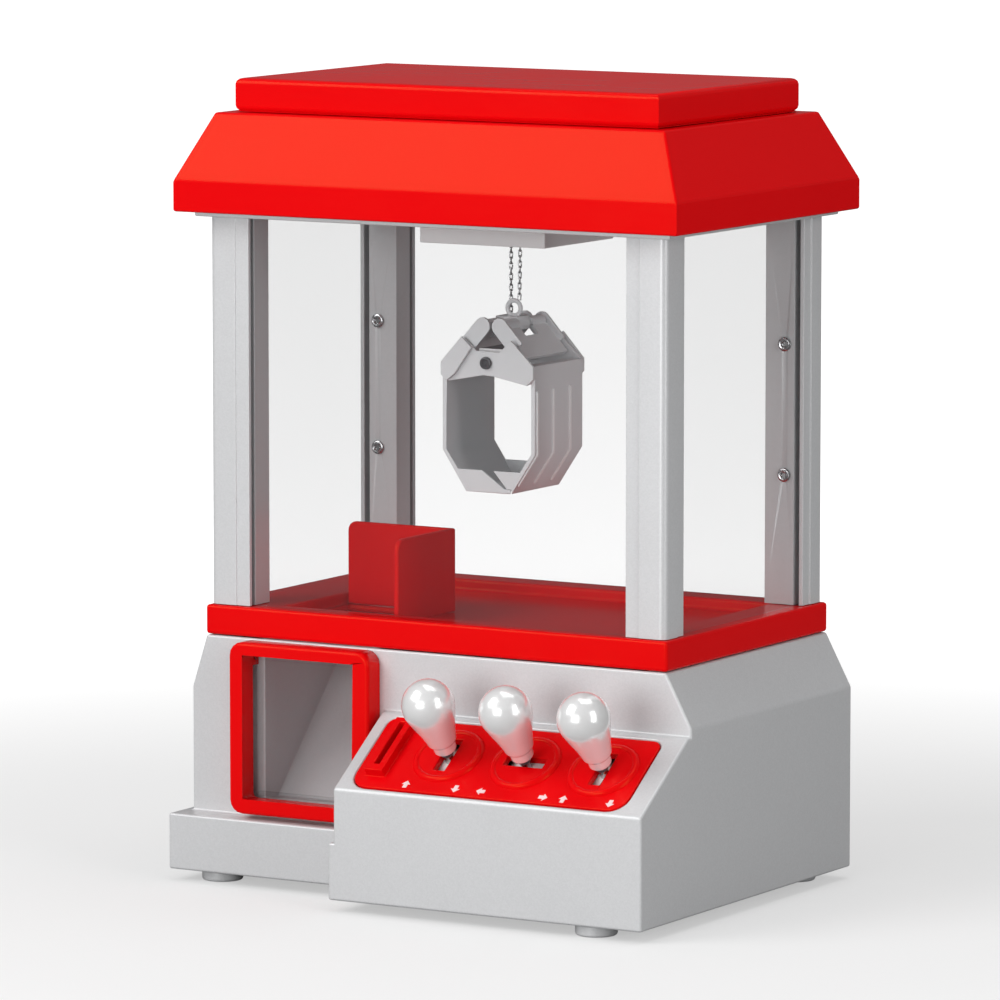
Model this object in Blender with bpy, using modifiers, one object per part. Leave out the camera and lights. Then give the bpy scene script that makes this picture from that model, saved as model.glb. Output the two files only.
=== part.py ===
"""A table-top claw crane machine that lifts sweets: silver base with a control console, red tray,
clear cabin between four corner posts, red roof with a gantry, and a clamshell claw on two chains.

Sizes are millimetres, and the helpers turn them into metres. +X is to the right as a player
stands, -Y is towards the player, and +Z is up from the feet. Pieces are drawn from the middle of
the cabin, and the whole machine then moves back, so that the origin is under the middle of its
overall depth. Left and right, front and rear are the player's.
"""

import math

import bmesh
import bpy
from mathutils import Matrix, Vector

MM = 0.001
GAP = 0.3  # clearance between pieces that seat on each other
WALL = 2.5  # wall of the large mouldings

# Heights, from the table up
FOOT_HEIGHT = 5.0
BASE_TOP = 107.7
BAND_BOTTOM = BASE_TOP + GAP
BAND_TOP = BAND_BOTTOM + 13.0
CABIN_HEIGHT = 169.5
CEILING = BAND_TOP + CABIN_HEIGHT  # underside of the top frame
SKIRT_BOTTOM = CEILING + 2.1
SKIRT_TOP = SKIRT_BOTTOM + 13.9
DECK_TOP = SKIRT_TOP + 28.8
LID_TOP = DECK_TOP + 14.7

# Plan half sizes
BAND_X, BAND_Y = 115.0, 72.0
SKIRT_X, SKIRT_Y = BAND_X + 9.4, BAND_Y + 9.5
SLOPE_RUN = 13.1
LID_INSET = 6.5  # from the deck's edge to the lid
LID_X, LID_Y = SKIRT_X - SLOPE_RUN - LID_INSET, SKIRT_Y - SLOPE_RUN - LID_INSET
LID_SEAT = 5.3  # how far the deck reaches in under the lid

# Lower body
BODY_RIGHT = BAND_X + 12.0
BODY_LEFT = -BAND_X - 7.0
BODY_INSET = 0.4  # from the tray's edge to the body's top edge
FLARE_HEIGHT = BASE_TOP - 23.1
PLINTH_LEFT = BODY_LEFT - 5.0
PLINTH_FRONT = -BAND_Y - 12.0
PLINTH_TOP = 29.7
CONSOLE_LEFT = -23.3
CONSOLE_SKIRT = 2.7
CONSOLE_FRONT = -BAND_Y - 43.0
CONSOLE_REAR = -BAND_Y + 12.0
PANEL_HEAD_Y, PANEL_HEAD_Z = -BAND_Y - 3.0, BASE_TOP - 26.6
PANEL_FOOT_Z = PANEL_HEAD_Z - 27.8
PANEL_ANGLE = math.atan2(PANEL_HEAD_Z - PANEL_FOOT_Z, PANEL_HEAD_Y - CONSOLE_FRONT)

# Feet, bottom cover and battery compartment
FOOT_RADIUS = 9.0
FOOT_PIP = 3.0
FEET = {
    "foot_front_left": (BODY_LEFT + 14.0, PLINTH_FRONT + 14.0),
    "foot_front_right": (BODY_RIGHT - 28.0, CONSOLE_FRONT + 12.0),
    "foot_rear_left": (BODY_LEFT + 14.0, BAND_Y - 16.0),
    "foot_rear_right": (BODY_RIGHT - 19.0, BAND_Y - 16.0),
}
TUB_CENTRE = (58.0, -12.0)
TUB_LENGTH, TUB_DEPTH, TUB_HEIGHT = 106.0, 64.0, 37.0  # room for three D cells
TUB_WALL = 2.0
PLATE_THICK = 2.5
DOOR_CLEAR = 0.4
SPEAKER_X, SPEAKER_Y = -70.0, 38.5
SPEAKER_RADIUS = 27.0
VENT_LENGTH, VENT_WIDE, VENT_PITCH = 32.0, 3.0, 9.0
BOARD_LENGTH, BOARD_DEPTH, BOARD_THICK = 90.0, 56.0, 1.6
SWITCH_X, SWITCH_Z = 55.0, 40.0  # left side of the nub when off, and its height
SWITCH_NUB = (5.0, 4.0)
SWITCH_TRAVEL = 5.0
SWITCH_PLATE = (14.5, 10.0, 1.6)

# Tray and prize chute
PAN_LEFT, PAN_RIGHT = 33.0 - BAND_X, BAND_X - 20.0
PAN_FRONT, PAN_REAR = 14.0 - BAND_Y, BAND_Y - 16.0
PAN_FLOOR = BAND_TOP - 5.0
TRAY_UNDER = PAN_FLOOR - 3.0
TRAY_RIM = 3.0
HOLE_LEFT, HOLE_RIGHT = PAN_LEFT + 2.5, -30.0
HOLE_FRONT, HOLE_REAR = PAN_FRONT + 1.0, -11.0
GUARD_TOP = PAN_FLOOR + 37.0
GUARD_THICK = 2.5
GUARD_OFFSET = 1.0  # from the hole's edge to the guard
CHUTE_LEFT = HOLE_LEFT - 7.5
CHUTE_WALL = 1.5
CHUTE_FLOOR = 37.0
CHUTE_FRONT = -BAND_Y + 4.0
RAMP_FOOT_Y = CHUTE_FRONT + 10.0
RAMP_HEAD_Z = TRAY_UNDER - 24.0

# Prize door
BEZEL_LEFT, BEZEL_RIGHT = BODY_LEFT + 25.0, CONSOLE_LEFT - CONSOLE_SKIRT
BEZEL_BOTTOM, BEZEL_TOP = PLINTH_TOP + 2.1, BASE_TOP - 0.7
BEZEL_FRONT = -BAND_Y - 10.0
BEZEL_CORNER = 6.0
DOOR_LEFT, DOOR_RIGHT = BEZEL_LEFT + 6.5, BEZEL_RIGHT - 8.0
DOOR_BOTTOM, DOOR_TOP = BEZEL_BOTTOM + 6.2, BEZEL_TOP - 5.0
FLAP_AXIS_Y, FLAP_AXIS_Z = -BAND_Y + 1.8, DOOR_TOP - 2.5
FLAP_THICK = 1.5
FLAP_BARREL, FLAP_PIP = 1.6, 1.1
FLAP_SIDE = 0.6  # clearance at each side of the flap
LUG_THICK = 1.8

# Corner posts and panes
POST_X, POST_Y = BAND_X - 1.8, BAND_Y - 1.8
POST_WIDE, POST_DEEP = 19.5, 17.0
POST_CORNER = 3.0
POST_STEP = 0.6
PANE_THICK = 2.0
PANE_SET_BACK = 2.9
GROOVE_DEPTH_X, GROOVE_DEPTH_Y = POST_WIDE - 5.5, POST_DEEP - 5.0
SCREW_X = POST_X - 9.9
SCREW_HEIGHTS = {"upper": CEILING - 55.5, "lower": CEILING - 112.5}
SCREW_HEAD, SCREW_SHANK, SCREW_RECESS = 3.1, 1.2, 1.3

# Roof and lid hinge
HINGE_ROD = 0.9
HINGE_BORE = HINGE_ROD + GAP
EAR_RADIUS, KNUCKLE_RADIUS = 2.4, 2.2
EAR_START, EAR_END = 60.6, 66.5
KNUCKLE_START, KNUCKLE_END = 40.0, EAR_START - 0.4

# Roof mechanism
FRAME_LIP_X, FRAME_LIP_Y = BAND_X + 2.5, BAND_Y + 3.0
FRAME_X, FRAME_Y = SKIRT_X - 2.9, SKIRT_Y - 2.8
FRAME_LIP_THICK = 2.4
FRAME_TOP = CEILING + 4.5
FRAME_HOLE_X, FRAME_HOLE_Y = FRAME_X - 23.5, FRAME_Y - 14.7
ROD_RADIUS = 2.0
RUN_CLEAR = 0.2
ROD_BORE = ROD_RADIUS + RUN_CLEAR
RAIL_X, RAIL_Z = FRAME_X - 17.5, FRAME_TOP + 6.0
BOSS_START, BOSS_DEEP = FRAME_Y - 6.2, 4.5
RAIL_END = BOSS_START + 2.5
BLOCK_INNER, BLOCK_OUTER = RAIL_X - 7.0, RAIL_X + 5.0
CROSS_Y, CROSS_Z = 14.0, RAIL_Z + 7.0
BLOCK_FRONT, BLOCK_FLOOR = -CROSS_Y - 6.0, FRAME_TOP + 0.8
BEAM_Y = (32.0, 37.0)
BEAM_FLOOR = FRAME_TOP + 1.5
MODULE = 1.2
TOOTH_TOP, TOOTH_ROOT = 0.9 * MODULE, 1.25 * MODULE
PINION_TEETH = 12
PINION_PITCH = MODULE * PINION_TEETH / 2
FRAME_RACK = (-RAIL_X - 12.0, -RAIL_X - 7.5)
FRAME_RACK_REACH, BEAM_RACK_REACH = 46.0, 60.0
FRAME_PINION_Z = FRAME_TOP + 13.0
BEAM_PINION_Z = FRAME_TOP + 14.5
BEAM_PINION_X = 20.5
MOTOR_SHAFT, MOTOR_HALF = 1.5, 8.5
TROLLEY_X, TROLLEY_Y = 31.2, 30.0
TROLLEY_WALL = 2.0
TROLLEY_BOTTOM, TROLLEY_TOP = CEILING - 11.0, CROSS_Z + 6.0
TOWER_TOP = TROLLEY_TOP + 20.0
DRUM_Z = TROLLEY_TOP + 10.0
DRUM_CORE = 6.0
DRUM_FLANGE = 9.0
DRUM_AXLE = 2.0
DRUM_CHEEK, DRUM_HALF = 1.0, 5.5

# Claw, which hangs closed under the trolley
CLAW_X = -2.2
CHAIN_MIDDLE = -0.8  # between the two chains
CHAIN_OFFSET = 2.7
CHAIN_RADIUS = 0.7
CHAIN_Y = 0.8
DRUM_Y = CHAIN_Y + CHAIN_RADIUS + GAP + DRUM_CORE
PIN_Z = CEILING - 62.5
PIN_RADIUS = 2.0
RING_Y = -1.2
RING_Z = PIN_Z + 22.2
RING_MAJOR, RING_MINOR = 3.3, 1.0
LINK_X, LINK_Z = 4.3, 15.5  # head pivots, from the claw pin
HEAD_ROD = 1.4
SHOULDER = (16.6, 2.0)  # where a link's foot meets its jaw, from the claw pin
LINK_HALF, LINK_CHEEK, LINK_TAIL = 1.1, 3.8, 12.5
JAW_HALF = 23.2
JAW_SHEET = 2.0
JAW_DROP = 39.0
JAW_BOTTOM = JAW_DROP + 17.6
JAW_FLAT = 11.4
CHEEK_TOP = JAW_DROP + 8.0
LAYER = 1.4  # thickness of the claw's side plates
LAYER_GAP = 0.4
LINK_LAYER = 17.4
INNER_LAYER = LINK_LAYER + LAYER + LAYER_GAP
OUTER_LAYER = INNER_LAYER + LAYER + LAYER_GAP
PLATE_REACH = LINK_LAYER - 0.6  # half length of what lies between the links' cheeks
CROSSHEAD_TOP = 5.6

# Controls, in the panel's own frame: x, distance down the slope, height over the surface
PANEL_LEFT, PANEL_RIGHT = CONSOLE_LEFT + 6.3, BODY_RIGHT - 10.7
PANEL_UPPER, PANEL_LOWER = 3.0, 46.0
PANEL_THICK, PANEL_RISE = 2.0, 0.2
PANEL_CLEAR = 0.4
STICK_PITCH = 37.8
STICKS = {name: PANEL_RIGHT - 18.9 - STICK_PITCH * k for k, name in enumerate(("right", "middle", "left"))}
STICK_DOWN = 23.5
STICK_PIVOT = 22.0
SLOT_LONG, SLOT_WIDE = 19.0, 5.6
DISC_RADIUS, DISC_RISE = 15.0, 1.4
LEVER_RADIUS = 2.2
LEVER_TOP = 29.0
LEVER_PIN, LEVER_PIN_REACH, LUG_AT = 1.1, 6.9, 6.0
COLLAR_RADIUS = 2.7
KNOB_FOOT, KNOB_CENTRE, KNOB_RADIUS = 4.5, 29.7, 11.6
KNOB_NECK = 6.4
SHELF_DEPTH, SHELF_THICK = STICK_PIVOT + 5.0, 2.5
COIN_X = PANEL_LEFT + 10.0
COIN_SLOT = 2.6
COIN_BLOCK_HALF, COIN_BLOCK_RISE = 4.5, 4.0
COIN_UPPER, COIN_LOWER = 6.0, 39.0
COIN_PIVOT_DOWN, COIN_PIVOT_DEPTH, COIN_PEG = 30.0, 13.0, 1.2


# Helpers


def clear_scene():
    for obj in list(bpy.data.objects):
        bpy.data.objects.remove(obj)


def collection(name):
    made = bpy.data.collections.new(name)
    bpy.context.scene.collection.children.link(made)
    return made


def material(name, colour, roughness, metallic=0.0, alpha=1.0):
    made = bpy.data.materials.new(name)
    made.use_nodes = True
    shader = made.node_tree.nodes["Principled BSDF"]
    shader.inputs["Base Color"].default_value = (*colour, 1.0)
    shader.inputs["Roughness"].default_value = roughness
    shader.inputs["Metallic"].default_value = metallic
    shader.inputs["Alpha"].default_value = alpha
    return made


def metres(point):
    return Vector(point) * MM


def add(name, bm, finish=None):
    """Makes an object of a bmesh that is in metres. Without a finish it is a helper for Booleans."""
    mesh = bpy.data.meshes.new(name)
    bmesh.ops.recalc_face_normals(bm, faces=bm.faces)
    bm.to_mesh(mesh)
    bm.free()
    return placed(name, mesh, finish)


def placed(name, mesh, finish):
    obj = bpy.data.objects.new(name, mesh)
    if finish is None:
        HELPERS.objects.link(obj)
        obj.hide_render = True
        obj.display_type = "WIRE"
    else:
        MACHINE.objects.link(obj)
        mesh.materials.append(finish)
    return obj


def smooth(obj):
    obj.data.shade_smooth()
    obj.data.set_sharp_from_angle(angle=math.radians(35))
    return obj


def box(name, low, high, finish=None):
    bm = bmesh.new()
    bmesh.ops.create_cube(bm, size=1.0)
    size = metres(high) - metres(low)
    centre = (metres(high) + metres(low)) / 2
    bmesh.ops.scale(bm, vec=size, verts=bm.verts)
    bmesh.ops.translate(bm, vec=centre, verts=bm.verts)
    return add(name, bm, finish)


def cylinder(name, start, end, radius, finish=None, sides=20, radius_end=None):
    """A round bar from start to end, with another radius at its end for a cone."""
    start, end = metres(start), metres(end)
    along = end - start
    bm = bmesh.new()
    bmesh.ops.create_cone(
        bm,
        cap_ends=True,
        segments=sides,
        radius1=radius * MM,
        radius2=(radius if radius_end is None else radius_end) * MM,
        depth=along.length,
    )
    turn = Vector((0, 0, 1)).rotation_difference(along).to_matrix().to_4x4()
    bmesh.ops.transform(bm, matrix=Matrix.Translation((start + end) / 2) @ turn, verts=bm.verts)
    return smooth(add(name, bm, finish))


PLANES = {
    "XY": Matrix.Identity(4),
    "XZ": Matrix(((1, 0, 0, 0), (0, 0, -1, 0), (0, 1, 0, 0), (0, 0, 0, 1))),
    "YZ": Matrix(((0, 0, 1, 0), (1, 0, 0, 0), (0, 1, 0, 0), (0, 0, 0, 1))),
}
THICKNESS_AXIS = {"XY": (0, 0, 1), "XZ": (0, 1, 0), "YZ": (1, 0, 0)}


def plate(name, outlines, plane, low, high, finish=None):
    """Closed outlines, the first one outside and the rest holes, given a thickness from low to high."""
    curve = bpy.data.curves.new(name, "CURVE")
    curve.dimensions = "2D"
    curve.fill_mode = "BOTH"
    curve.extrude = (high - low) / 2 * MM
    for outline in outlines:
        spline = curve.splines.new("POLY")
        spline.points.add(len(outline) - 1)
        spline.use_cyclic_u = True
        for point, (u, v) in zip(spline.points, outline):
            point.co = (u * MM, v * MM, 0, 1)
    drawn = bpy.data.objects.new(name, curve)
    bpy.context.scene.collection.objects.link(drawn)
    graph = bpy.context.evaluated_depsgraph_get()
    mesh = bpy.data.meshes.new_from_object(drawn.evaluated_get(graph))
    bpy.data.objects.remove(drawn)
    middle = Vector(THICKNESS_AXIS[plane]) * ((low + high) / 2 * MM)
    mesh.transform(Matrix.Translation(middle) @ PLANES[plane])
    bm = bmesh.new()
    bm.from_mesh(mesh)
    bmesh.ops.remove_doubles(bm, verts=bm.verts, dist=0.00001)
    bpy.data.meshes.remove(mesh)
    return add(name, bm, finish)


def rectangle(x0, x1, y0, y1):
    return [(x0, y0), (x1, y0), (x1, y1), (x0, y1)]


def rounded(x0, x1, y0, y1, radii, steps=4):
    """A rectangle whose corners have the given radii, from the low left one round anticlockwise."""
    corners = [(x0, y0, 180), (x1, y0, 270), (x1, y1, 0), (x0, y1, 90)]
    points = []
    for (x, y, start), radius in zip(corners, radii):
        centre_x = x + radius if x == x0 else x - radius
        centre_y = y + radius if y == y0 else y - radius
        count = steps if radius > 0 else 0
        for step in range(count + 1):
            angle = math.radians(start + 90 * step / max(count, 1))
            points.append((centre_x + radius * math.cos(angle), centre_y + radius * math.sin(angle)))
    return points


def circle(x, y, radius, sides=20):
    turns = [2 * math.pi * k / sides for k in range(sides)]
    return [(x + radius * math.cos(t), y + radius * math.sin(t)) for t in turns]


def turned(name, profile, finish=None, steps=24):
    """Turns a profile of (radius, height), which runs from the top down its outer side, round Z."""
    bm = bmesh.new()
    points = [bm.verts.new((r * MM, 0, z * MM)) for r, z in profile]
    for above, below in zip(points, points[1:]):
        bm.edges.new((above, below))
    mesh = bpy.data.meshes.new(name)
    bm.to_mesh(mesh)
    bm.free()
    obj = placed(name, mesh, finish)
    screw = obj.modifiers.new("turn", "SCREW")
    screw.axis = "Z"
    screw.steps = steps
    screw.render_steps = steps
    screw.use_merge_vertices = True
    screw.merge_threshold = 0.00001
    screw.use_smooth_shade = True
    return obj


def boolean(target, operation, *others):
    for other in others:
        made = target.modifiers.new(operation.lower(), "BOOLEAN")
        made.operation = operation
        made.solver = "EXACT"
        made.object = other
    return target


def cut(target, *cutters):
    return boolean(target, "DIFFERENCE", *cutters)


def join(target, *others):
    return boolean(target, "UNION", *others)


def move_origin(obj, point):
    """Puts an object's origin on its joint, and leaves its shape where it is."""
    obj.data.transform(Matrix.Translation(-metres(point)))
    obj.location = metres(point)
    return obj


def corner_signs():
    """The four corners, each as its name, the sign of its X and the sign of its Y."""
    return [
        ("front_left", -1, -1),
        ("front_right", 1, -1),
        ("rear_left", -1, 1),
        ("rear_right", 1, 1),
    ]


# Lower body


def shell_outline(inset):
    """The body's front view, as wide at the bottom as the panel below the flare."""
    top = BASE_TOP - inset
    bottom = FOOT_HEIGHT if inset == 0 else 0
    return [
        (BODY_LEFT + inset, bottom),
        (BODY_RIGHT - inset, bottom),
        (BODY_RIGHT - inset, FLARE_HEIGHT - 0.2 * inset),
        (BAND_X - BODY_INSET - 0.8 * inset, top),
        (-BAND_X + BODY_INSET + 0.8 * inset, top),
        (BODY_LEFT + inset, FLARE_HEIGHT - 0.2 * inset),
    ]


def console_outline(inset, rear):
    """The console's side view, with its sloping control panel."""
    bottom = FOOT_HEIGHT if inset == 0 else 0
    drop = inset / math.cos(PANEL_ANGLE)
    foot = PANEL_FOOT_Z + inset * math.tan(PANEL_ANGLE) - drop
    return [
        (CONSOLE_FRONT + inset, bottom),
        (CONSOLE_FRONT + inset, foot),
        (PANEL_HEAD_Y, PANEL_HEAD_Z - drop),
        (rear, PANEL_HEAD_Z - drop),
        (rear, bottom),
    ]


def build_base_shell():
    front, rear = -BAND_Y, BAND_Y
    shell = plate("base_shell", [shell_outline(0)], "XZ", front, rear, SILVER)
    plinth = box("plinth", (PLINTH_LEFT, PLINTH_FRONT, FOOT_HEIGHT), (CONSOLE_LEFT + 3, rear, PLINTH_TOP))
    console = plate("console", [console_outline(0, CONSOLE_REAR)], "YZ", CONSOLE_LEFT, BODY_RIGHT)
    skirt_left = CONSOLE_LEFT - CONSOLE_SKIRT
    skirt_right = CONSOLE_LEFT + 13
    skirt = box("skirt", (skirt_left, CONSOLE_FRONT, FOOT_HEIGHT), (skirt_right, CONSOLE_REAR, PLINTH_TOP))
    join(shell, plinth, console, skirt)
    inner_front, inner_rear = front + WALL, rear - WALL
    body_room = plate("body_room", [shell_outline(WALL)], "XZ", inner_front, inner_rear)
    plinth_room = box(
        "plinth_room",
        (PLINTH_LEFT + WALL, PLINTH_FRONT + WALL, 0),
        (skirt_left + WALL, inner_rear, PLINTH_TOP - WALL),
    )
    console_room = plate(
        "console_room",
        [console_outline(WALL, CONSOLE_REAR - 4)],
        "YZ",
        CONSOLE_LEFT + WALL,
        BODY_RIGHT - WALL,
    )
    skirt_room = box(
        "skirt_room",
        (skirt_left + WALL, CONSOLE_FRONT + WALL, 0),
        (CONSOLE_LEFT + WALL + 1, CONSOLE_REAR - 4, PLINTH_TOP - WALL),
    )
    room_left, room_right = DOOR_LEFT - 2, DOOR_RIGHT + 2
    low, high = (room_left, front - 8, DOOR_BOTTOM - 2.5), (room_right, front + 12, DOOR_TOP + 2.5)
    door = box("door_cut", low, high)
    mouth_x = BAND_X - 11
    low, high = (-mouth_x, inner_front - 0.4, BASE_TOP - 8), (mouth_x, inner_rear - 8.5, BASE_TOP + 8)
    mouth = box("mouth_cut", low, high)
    wide, tall = SWITCH_NUB
    low = (SWITCH_X - RUN_CLEAR - GAP, rear - 12, SWITCH_Z - tall / 2 - GAP)
    high = (SWITCH_X + wide + SWITCH_TRAVEL + RUN_CLEAR + GAP, rear + 8, SWITCH_Z + tall / 2 + GAP)
    switch = box("switch_cut", low, high)
    panel = plate("panel_cut", [panel_outline(PANEL_CLEAR)], "XY", -9, 9)
    on_panel(panel)
    cut(shell, body_room, plinth_room, console_room, skirt_room, door, mouth, switch, panel)
    return shell


def base_plate_outline():
    inset = WALL + GAP
    left, front = PLINTH_LEFT + inset, PLINTH_FRONT + inset
    step = CONSOLE_LEFT - CONSOLE_SKIRT + inset
    return [
        (left, front),
        (step, front),
        (step, CONSOLE_FRONT + inset),
        (BODY_RIGHT - inset, CONSOLE_FRONT + inset),
        (BODY_RIGHT - inset, BAND_Y - inset),
        (left, BAND_Y - inset),
    ]


def tub_limits(grow):
    x, y = TUB_CENTRE
    half_x, half_y = TUB_LENGTH / 2 + grow, TUB_DEPTH / 2 + grow
    return x - half_x, x + half_x, y - half_y, y + half_y


def build_base_plate():
    low, high = FOOT_HEIGHT, FOOT_HEIGHT + PLATE_THICK
    holes = [circle(x, y, FOOT_PIP + GAP, 16) for x, y in FEET.values()]
    holes.append(rectangle(*tub_limits(0)))
    for slot in (-1, 0, 1):
        y = SPEAKER_Y + VENT_PITCH * slot
        half_x, half_y = VENT_LENGTH / 2, VENT_WIDE / 2
        holes.append(rectangle(SPEAKER_X - half_x, SPEAKER_X + half_x, y - half_y, y + half_y))
    base = plate("base_plate", [base_plate_outline(), *holes], "XY", low, high, DARK_SILVER)
    x0, x1, y0, y1 = tub_limits(TUB_WALL)
    top = high + TUB_HEIGHT
    tub = box("tub", (x0, y0, low + 0.5), (x1, y1, top))
    x0, x1, y0, y1 = tub_limits(0)
    room = box("tub_room", (x0, y0, 0), (x1, y1, top - TUB_WALL))
    join(base, tub)
    cut(base, room)
    return base


def build_battery_door():
    x0, x1, y0, y1 = tub_limits(-DOOR_CLEAR)
    return box("battery_door", (x0, y0, FOOT_HEIGHT), (x1, y1, FOOT_HEIGHT + 2), DARK_SILVER)


def build_feet():
    profile = [
        (0, FOOT_HEIGHT + PLATE_THICK - 0.2),
        (FOOT_PIP, FOOT_HEIGHT + PLATE_THICK - 0.2),
        (FOOT_PIP, FOOT_HEIGHT - GAP),
        (FOOT_RADIUS, FOOT_HEIGHT - GAP),
        (FOOT_RADIUS, 0.8),
        (FOOT_RADIUS - 0.8, 0),
        (0, 0),
    ]
    for name, (x, y) in FEET.items():
        turned(name, profile, SILVER, 20).location = metres((x, y, 0))


def build_electrics():
    """The circuit board over the battery tub, the speaker over its vents, and the power switch."""
    x, y = TUB_CENTRE
    half_x, half_y = BOARD_LENGTH / 2, BOARD_DEPTH / 2
    low = FOOT_HEIGHT + PLATE_THICK + TUB_HEIGHT + GAP
    high = low + BOARD_THICK
    board = box("circuit_board", (x - half_x, y - half_y, low), (x + half_x, y + half_y, high), GREEN)
    components = {"driver": (-30, 0, 12, 3), "processor": (-4, 8, 16, 2.4), "capacitor": (24, -10, 9, 8)}
    for name, (dx, dy, size, rise) in components.items():
        low_corner = (x + dx - size / 2, y + dy - size / 2, low + 1)
        high_corner = (x + dx + size / 2, y + dy + size / 2, high + rise)
        join(board, box(name, low_corner, high_corner))
    seat = FOOT_HEIGHT + PLATE_THICK + GAP
    rim, cone = SPEAKER_RADIUS, SPEAKER_RADIUS - 3
    profile = [(0, 19), (12, 19), (12, 13), (15, 11), (cone, 4), (rim, 4), (rim, 1), (cone, 1), (0, 0)]
    speaker = turned("speaker", [(r, z + seat) for r, z in profile], BLACK, 24)
    speaker.location = metres((SPEAKER_X, SPEAKER_Y, 0))
    inner = BAND_Y - WALL - GAP
    wide, tall = SWITCH_NUB
    long, high, thick = SWITCH_PLATE
    left = SWITCH_X - (long - SWITCH_TRAVEL - wide)
    low_corner = (left, inner - thick, SWITCH_Z - high / 2)
    switch = box("power_switch", low_corner, (left + long, inner, SWITCH_Z + high / 2), BLACK)
    low_corner = (SWITCH_X, inner - 1, SWITCH_Z - tall / 2)
    join(switch, box("switch_nub", low_corner, (SWITCH_X + wide, BAND_Y + 1.6, SWITCH_Z + tall / 2)))


# Tray, chute and prize door


def build_tray():
    tray = box("tray", (-BAND_X, -BAND_Y, BAND_BOTTOM), (BAND_X, BAND_Y, BAND_TOP), RED)
    pan = box("pan_cut", (PAN_LEFT, PAN_FRONT, PAN_FLOOR), (PAN_RIGHT, PAN_REAR, BAND_TOP + 5))
    under_x, under_y, low = BAND_X - TRAY_RIM, BAND_Y - TRAY_RIM, BAND_BOTTOM - 8
    under = box("under_cut", (-under_x, -under_y, low), (under_x, under_y, TRAY_UNDER))
    hole = box("hole_cut", (HOLE_LEFT, HOLE_FRONT, low), (HOLE_RIGHT, HOLE_REAR, BAND_TOP + 9))
    return cut(tray, pan, under, hole)


def build_chute_guard():
    low = PAN_FLOOR + GAP
    left, right = HOLE_LEFT - GUARD_OFFSET, HOLE_RIGHT + GUARD_OFFSET + GUARD_THICK
    rear = HOLE_REAR + GUARD_OFFSET + GUARD_THICK
    back = rounded(left, right, low, GUARD_TOP, (0, 0, 0, 4))
    guard = plate("chute_guard", [back], "XZ", rear - GUARD_THICK, rear, RED)
    side = rounded(HOLE_FRONT + GUARD_OFFSET, rear - 0.5, low, GUARD_TOP, (0, 0, 0, 5))
    return join(guard, plate("guard_side", [side], "YZ", right - GUARD_THICK, right))


def chute_line(drop):
    """The floor, ramp and back of the chute, from the front, moved down and back by the sheet."""
    rear, top = HOLE_REAR + 2, TRAY_UNDER - 0.4
    return [
        (CHUTE_FRONT, CHUTE_FLOOR - drop),
        (RAMP_FOOT_Y + 0.4 * drop, CHUTE_FLOOR - drop),
        (rear + drop, RAMP_HEAD_Z - 0.4 * drop),
        (rear + drop, top),
    ]


def build_prize_chute():
    right = HOLE_RIGHT
    sheet = chute_line(0) + chute_line(CHUTE_WALL)[::-1]
    low, high = CHUTE_LEFT - CHUTE_WALL, right + CHUTE_WALL
    chute = plate("prize_chute", [sheet], "YZ", low, high, SILVER)
    line = chute_line(CHUTE_WALL * 0.8)
    side = line + [(CHUTE_FRONT, TRAY_UNDER - 0.4)]
    for name, x in (("chute_left", low), ("chute_right", right)):
        join(chute, plate(name, [side], "YZ", x, x + CHUTE_WALL))
    return chute


def build_prize_door():
    rear = -BAND_Y - GAP
    outer = rounded(BEZEL_LEFT, BEZEL_RIGHT, BEZEL_BOTTOM, BEZEL_TOP, (BEZEL_CORNER,) * 4)
    inner = rounded(DOOR_LEFT, DOOR_RIGHT, DOOR_BOTTOM, DOOR_TOP, (1, 1, 1, 1), 1)
    bezel = plate("prize_bezel", [outer, inner], "XZ", BEZEL_FRONT, rear, RED)
    pins = []
    for name, x0, x1 in (
        ("lug_left", DOOR_LEFT + 0.1 - LUG_THICK, DOOR_LEFT + 0.1),
        ("lug_right", DOOR_RIGHT - 0.1, DOOR_RIGHT - 0.1 + LUG_THICK),
    ):
        reach = FLAP_AXIS_Y + 2.4
        join(bezel, box(name, (x0, rear - 0.5, FLAP_AXIS_Z - 3.5), (x1, reach, FLAP_AXIS_Z + 3.5)))
        middle = (x0 + x1) / 2
        at = (FLAP_AXIS_Y, FLAP_AXIS_Z)
        start, end = (middle - 1.5, *at), (middle + 1.5, *at)
        pins.append(cylinder(name + "_bore", start, end, FLAP_PIP + GAP, sides=12))
    cut(bezel, *pins)
    left, right = DOOR_LEFT + FLAP_SIDE, DOOR_RIGHT - FLAP_SIDE
    half = FLAP_THICK / 2
    flap = box(
        "prize_flap",
        (left, FLAP_AXIS_Y - half, DOOR_BOTTOM + 0.5),
        (right, FLAP_AXIS_Y + half, FLAP_AXIS_Z),
        CLEAR,
    )
    at = (FLAP_AXIS_Y, FLAP_AXIS_Z)
    join(flap, cylinder("flap_barrel", (left, *at), (right, *at), FLAP_BARREL, sides=12))
    reach = LUG_THICK
    join(flap, cylinder("flap_pips", (left - reach, *at), (right + reach, *at), FLAP_PIP, sides=12))
    move_origin(flap, ((left + right) / 2, *at))


# Cabin


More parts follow.
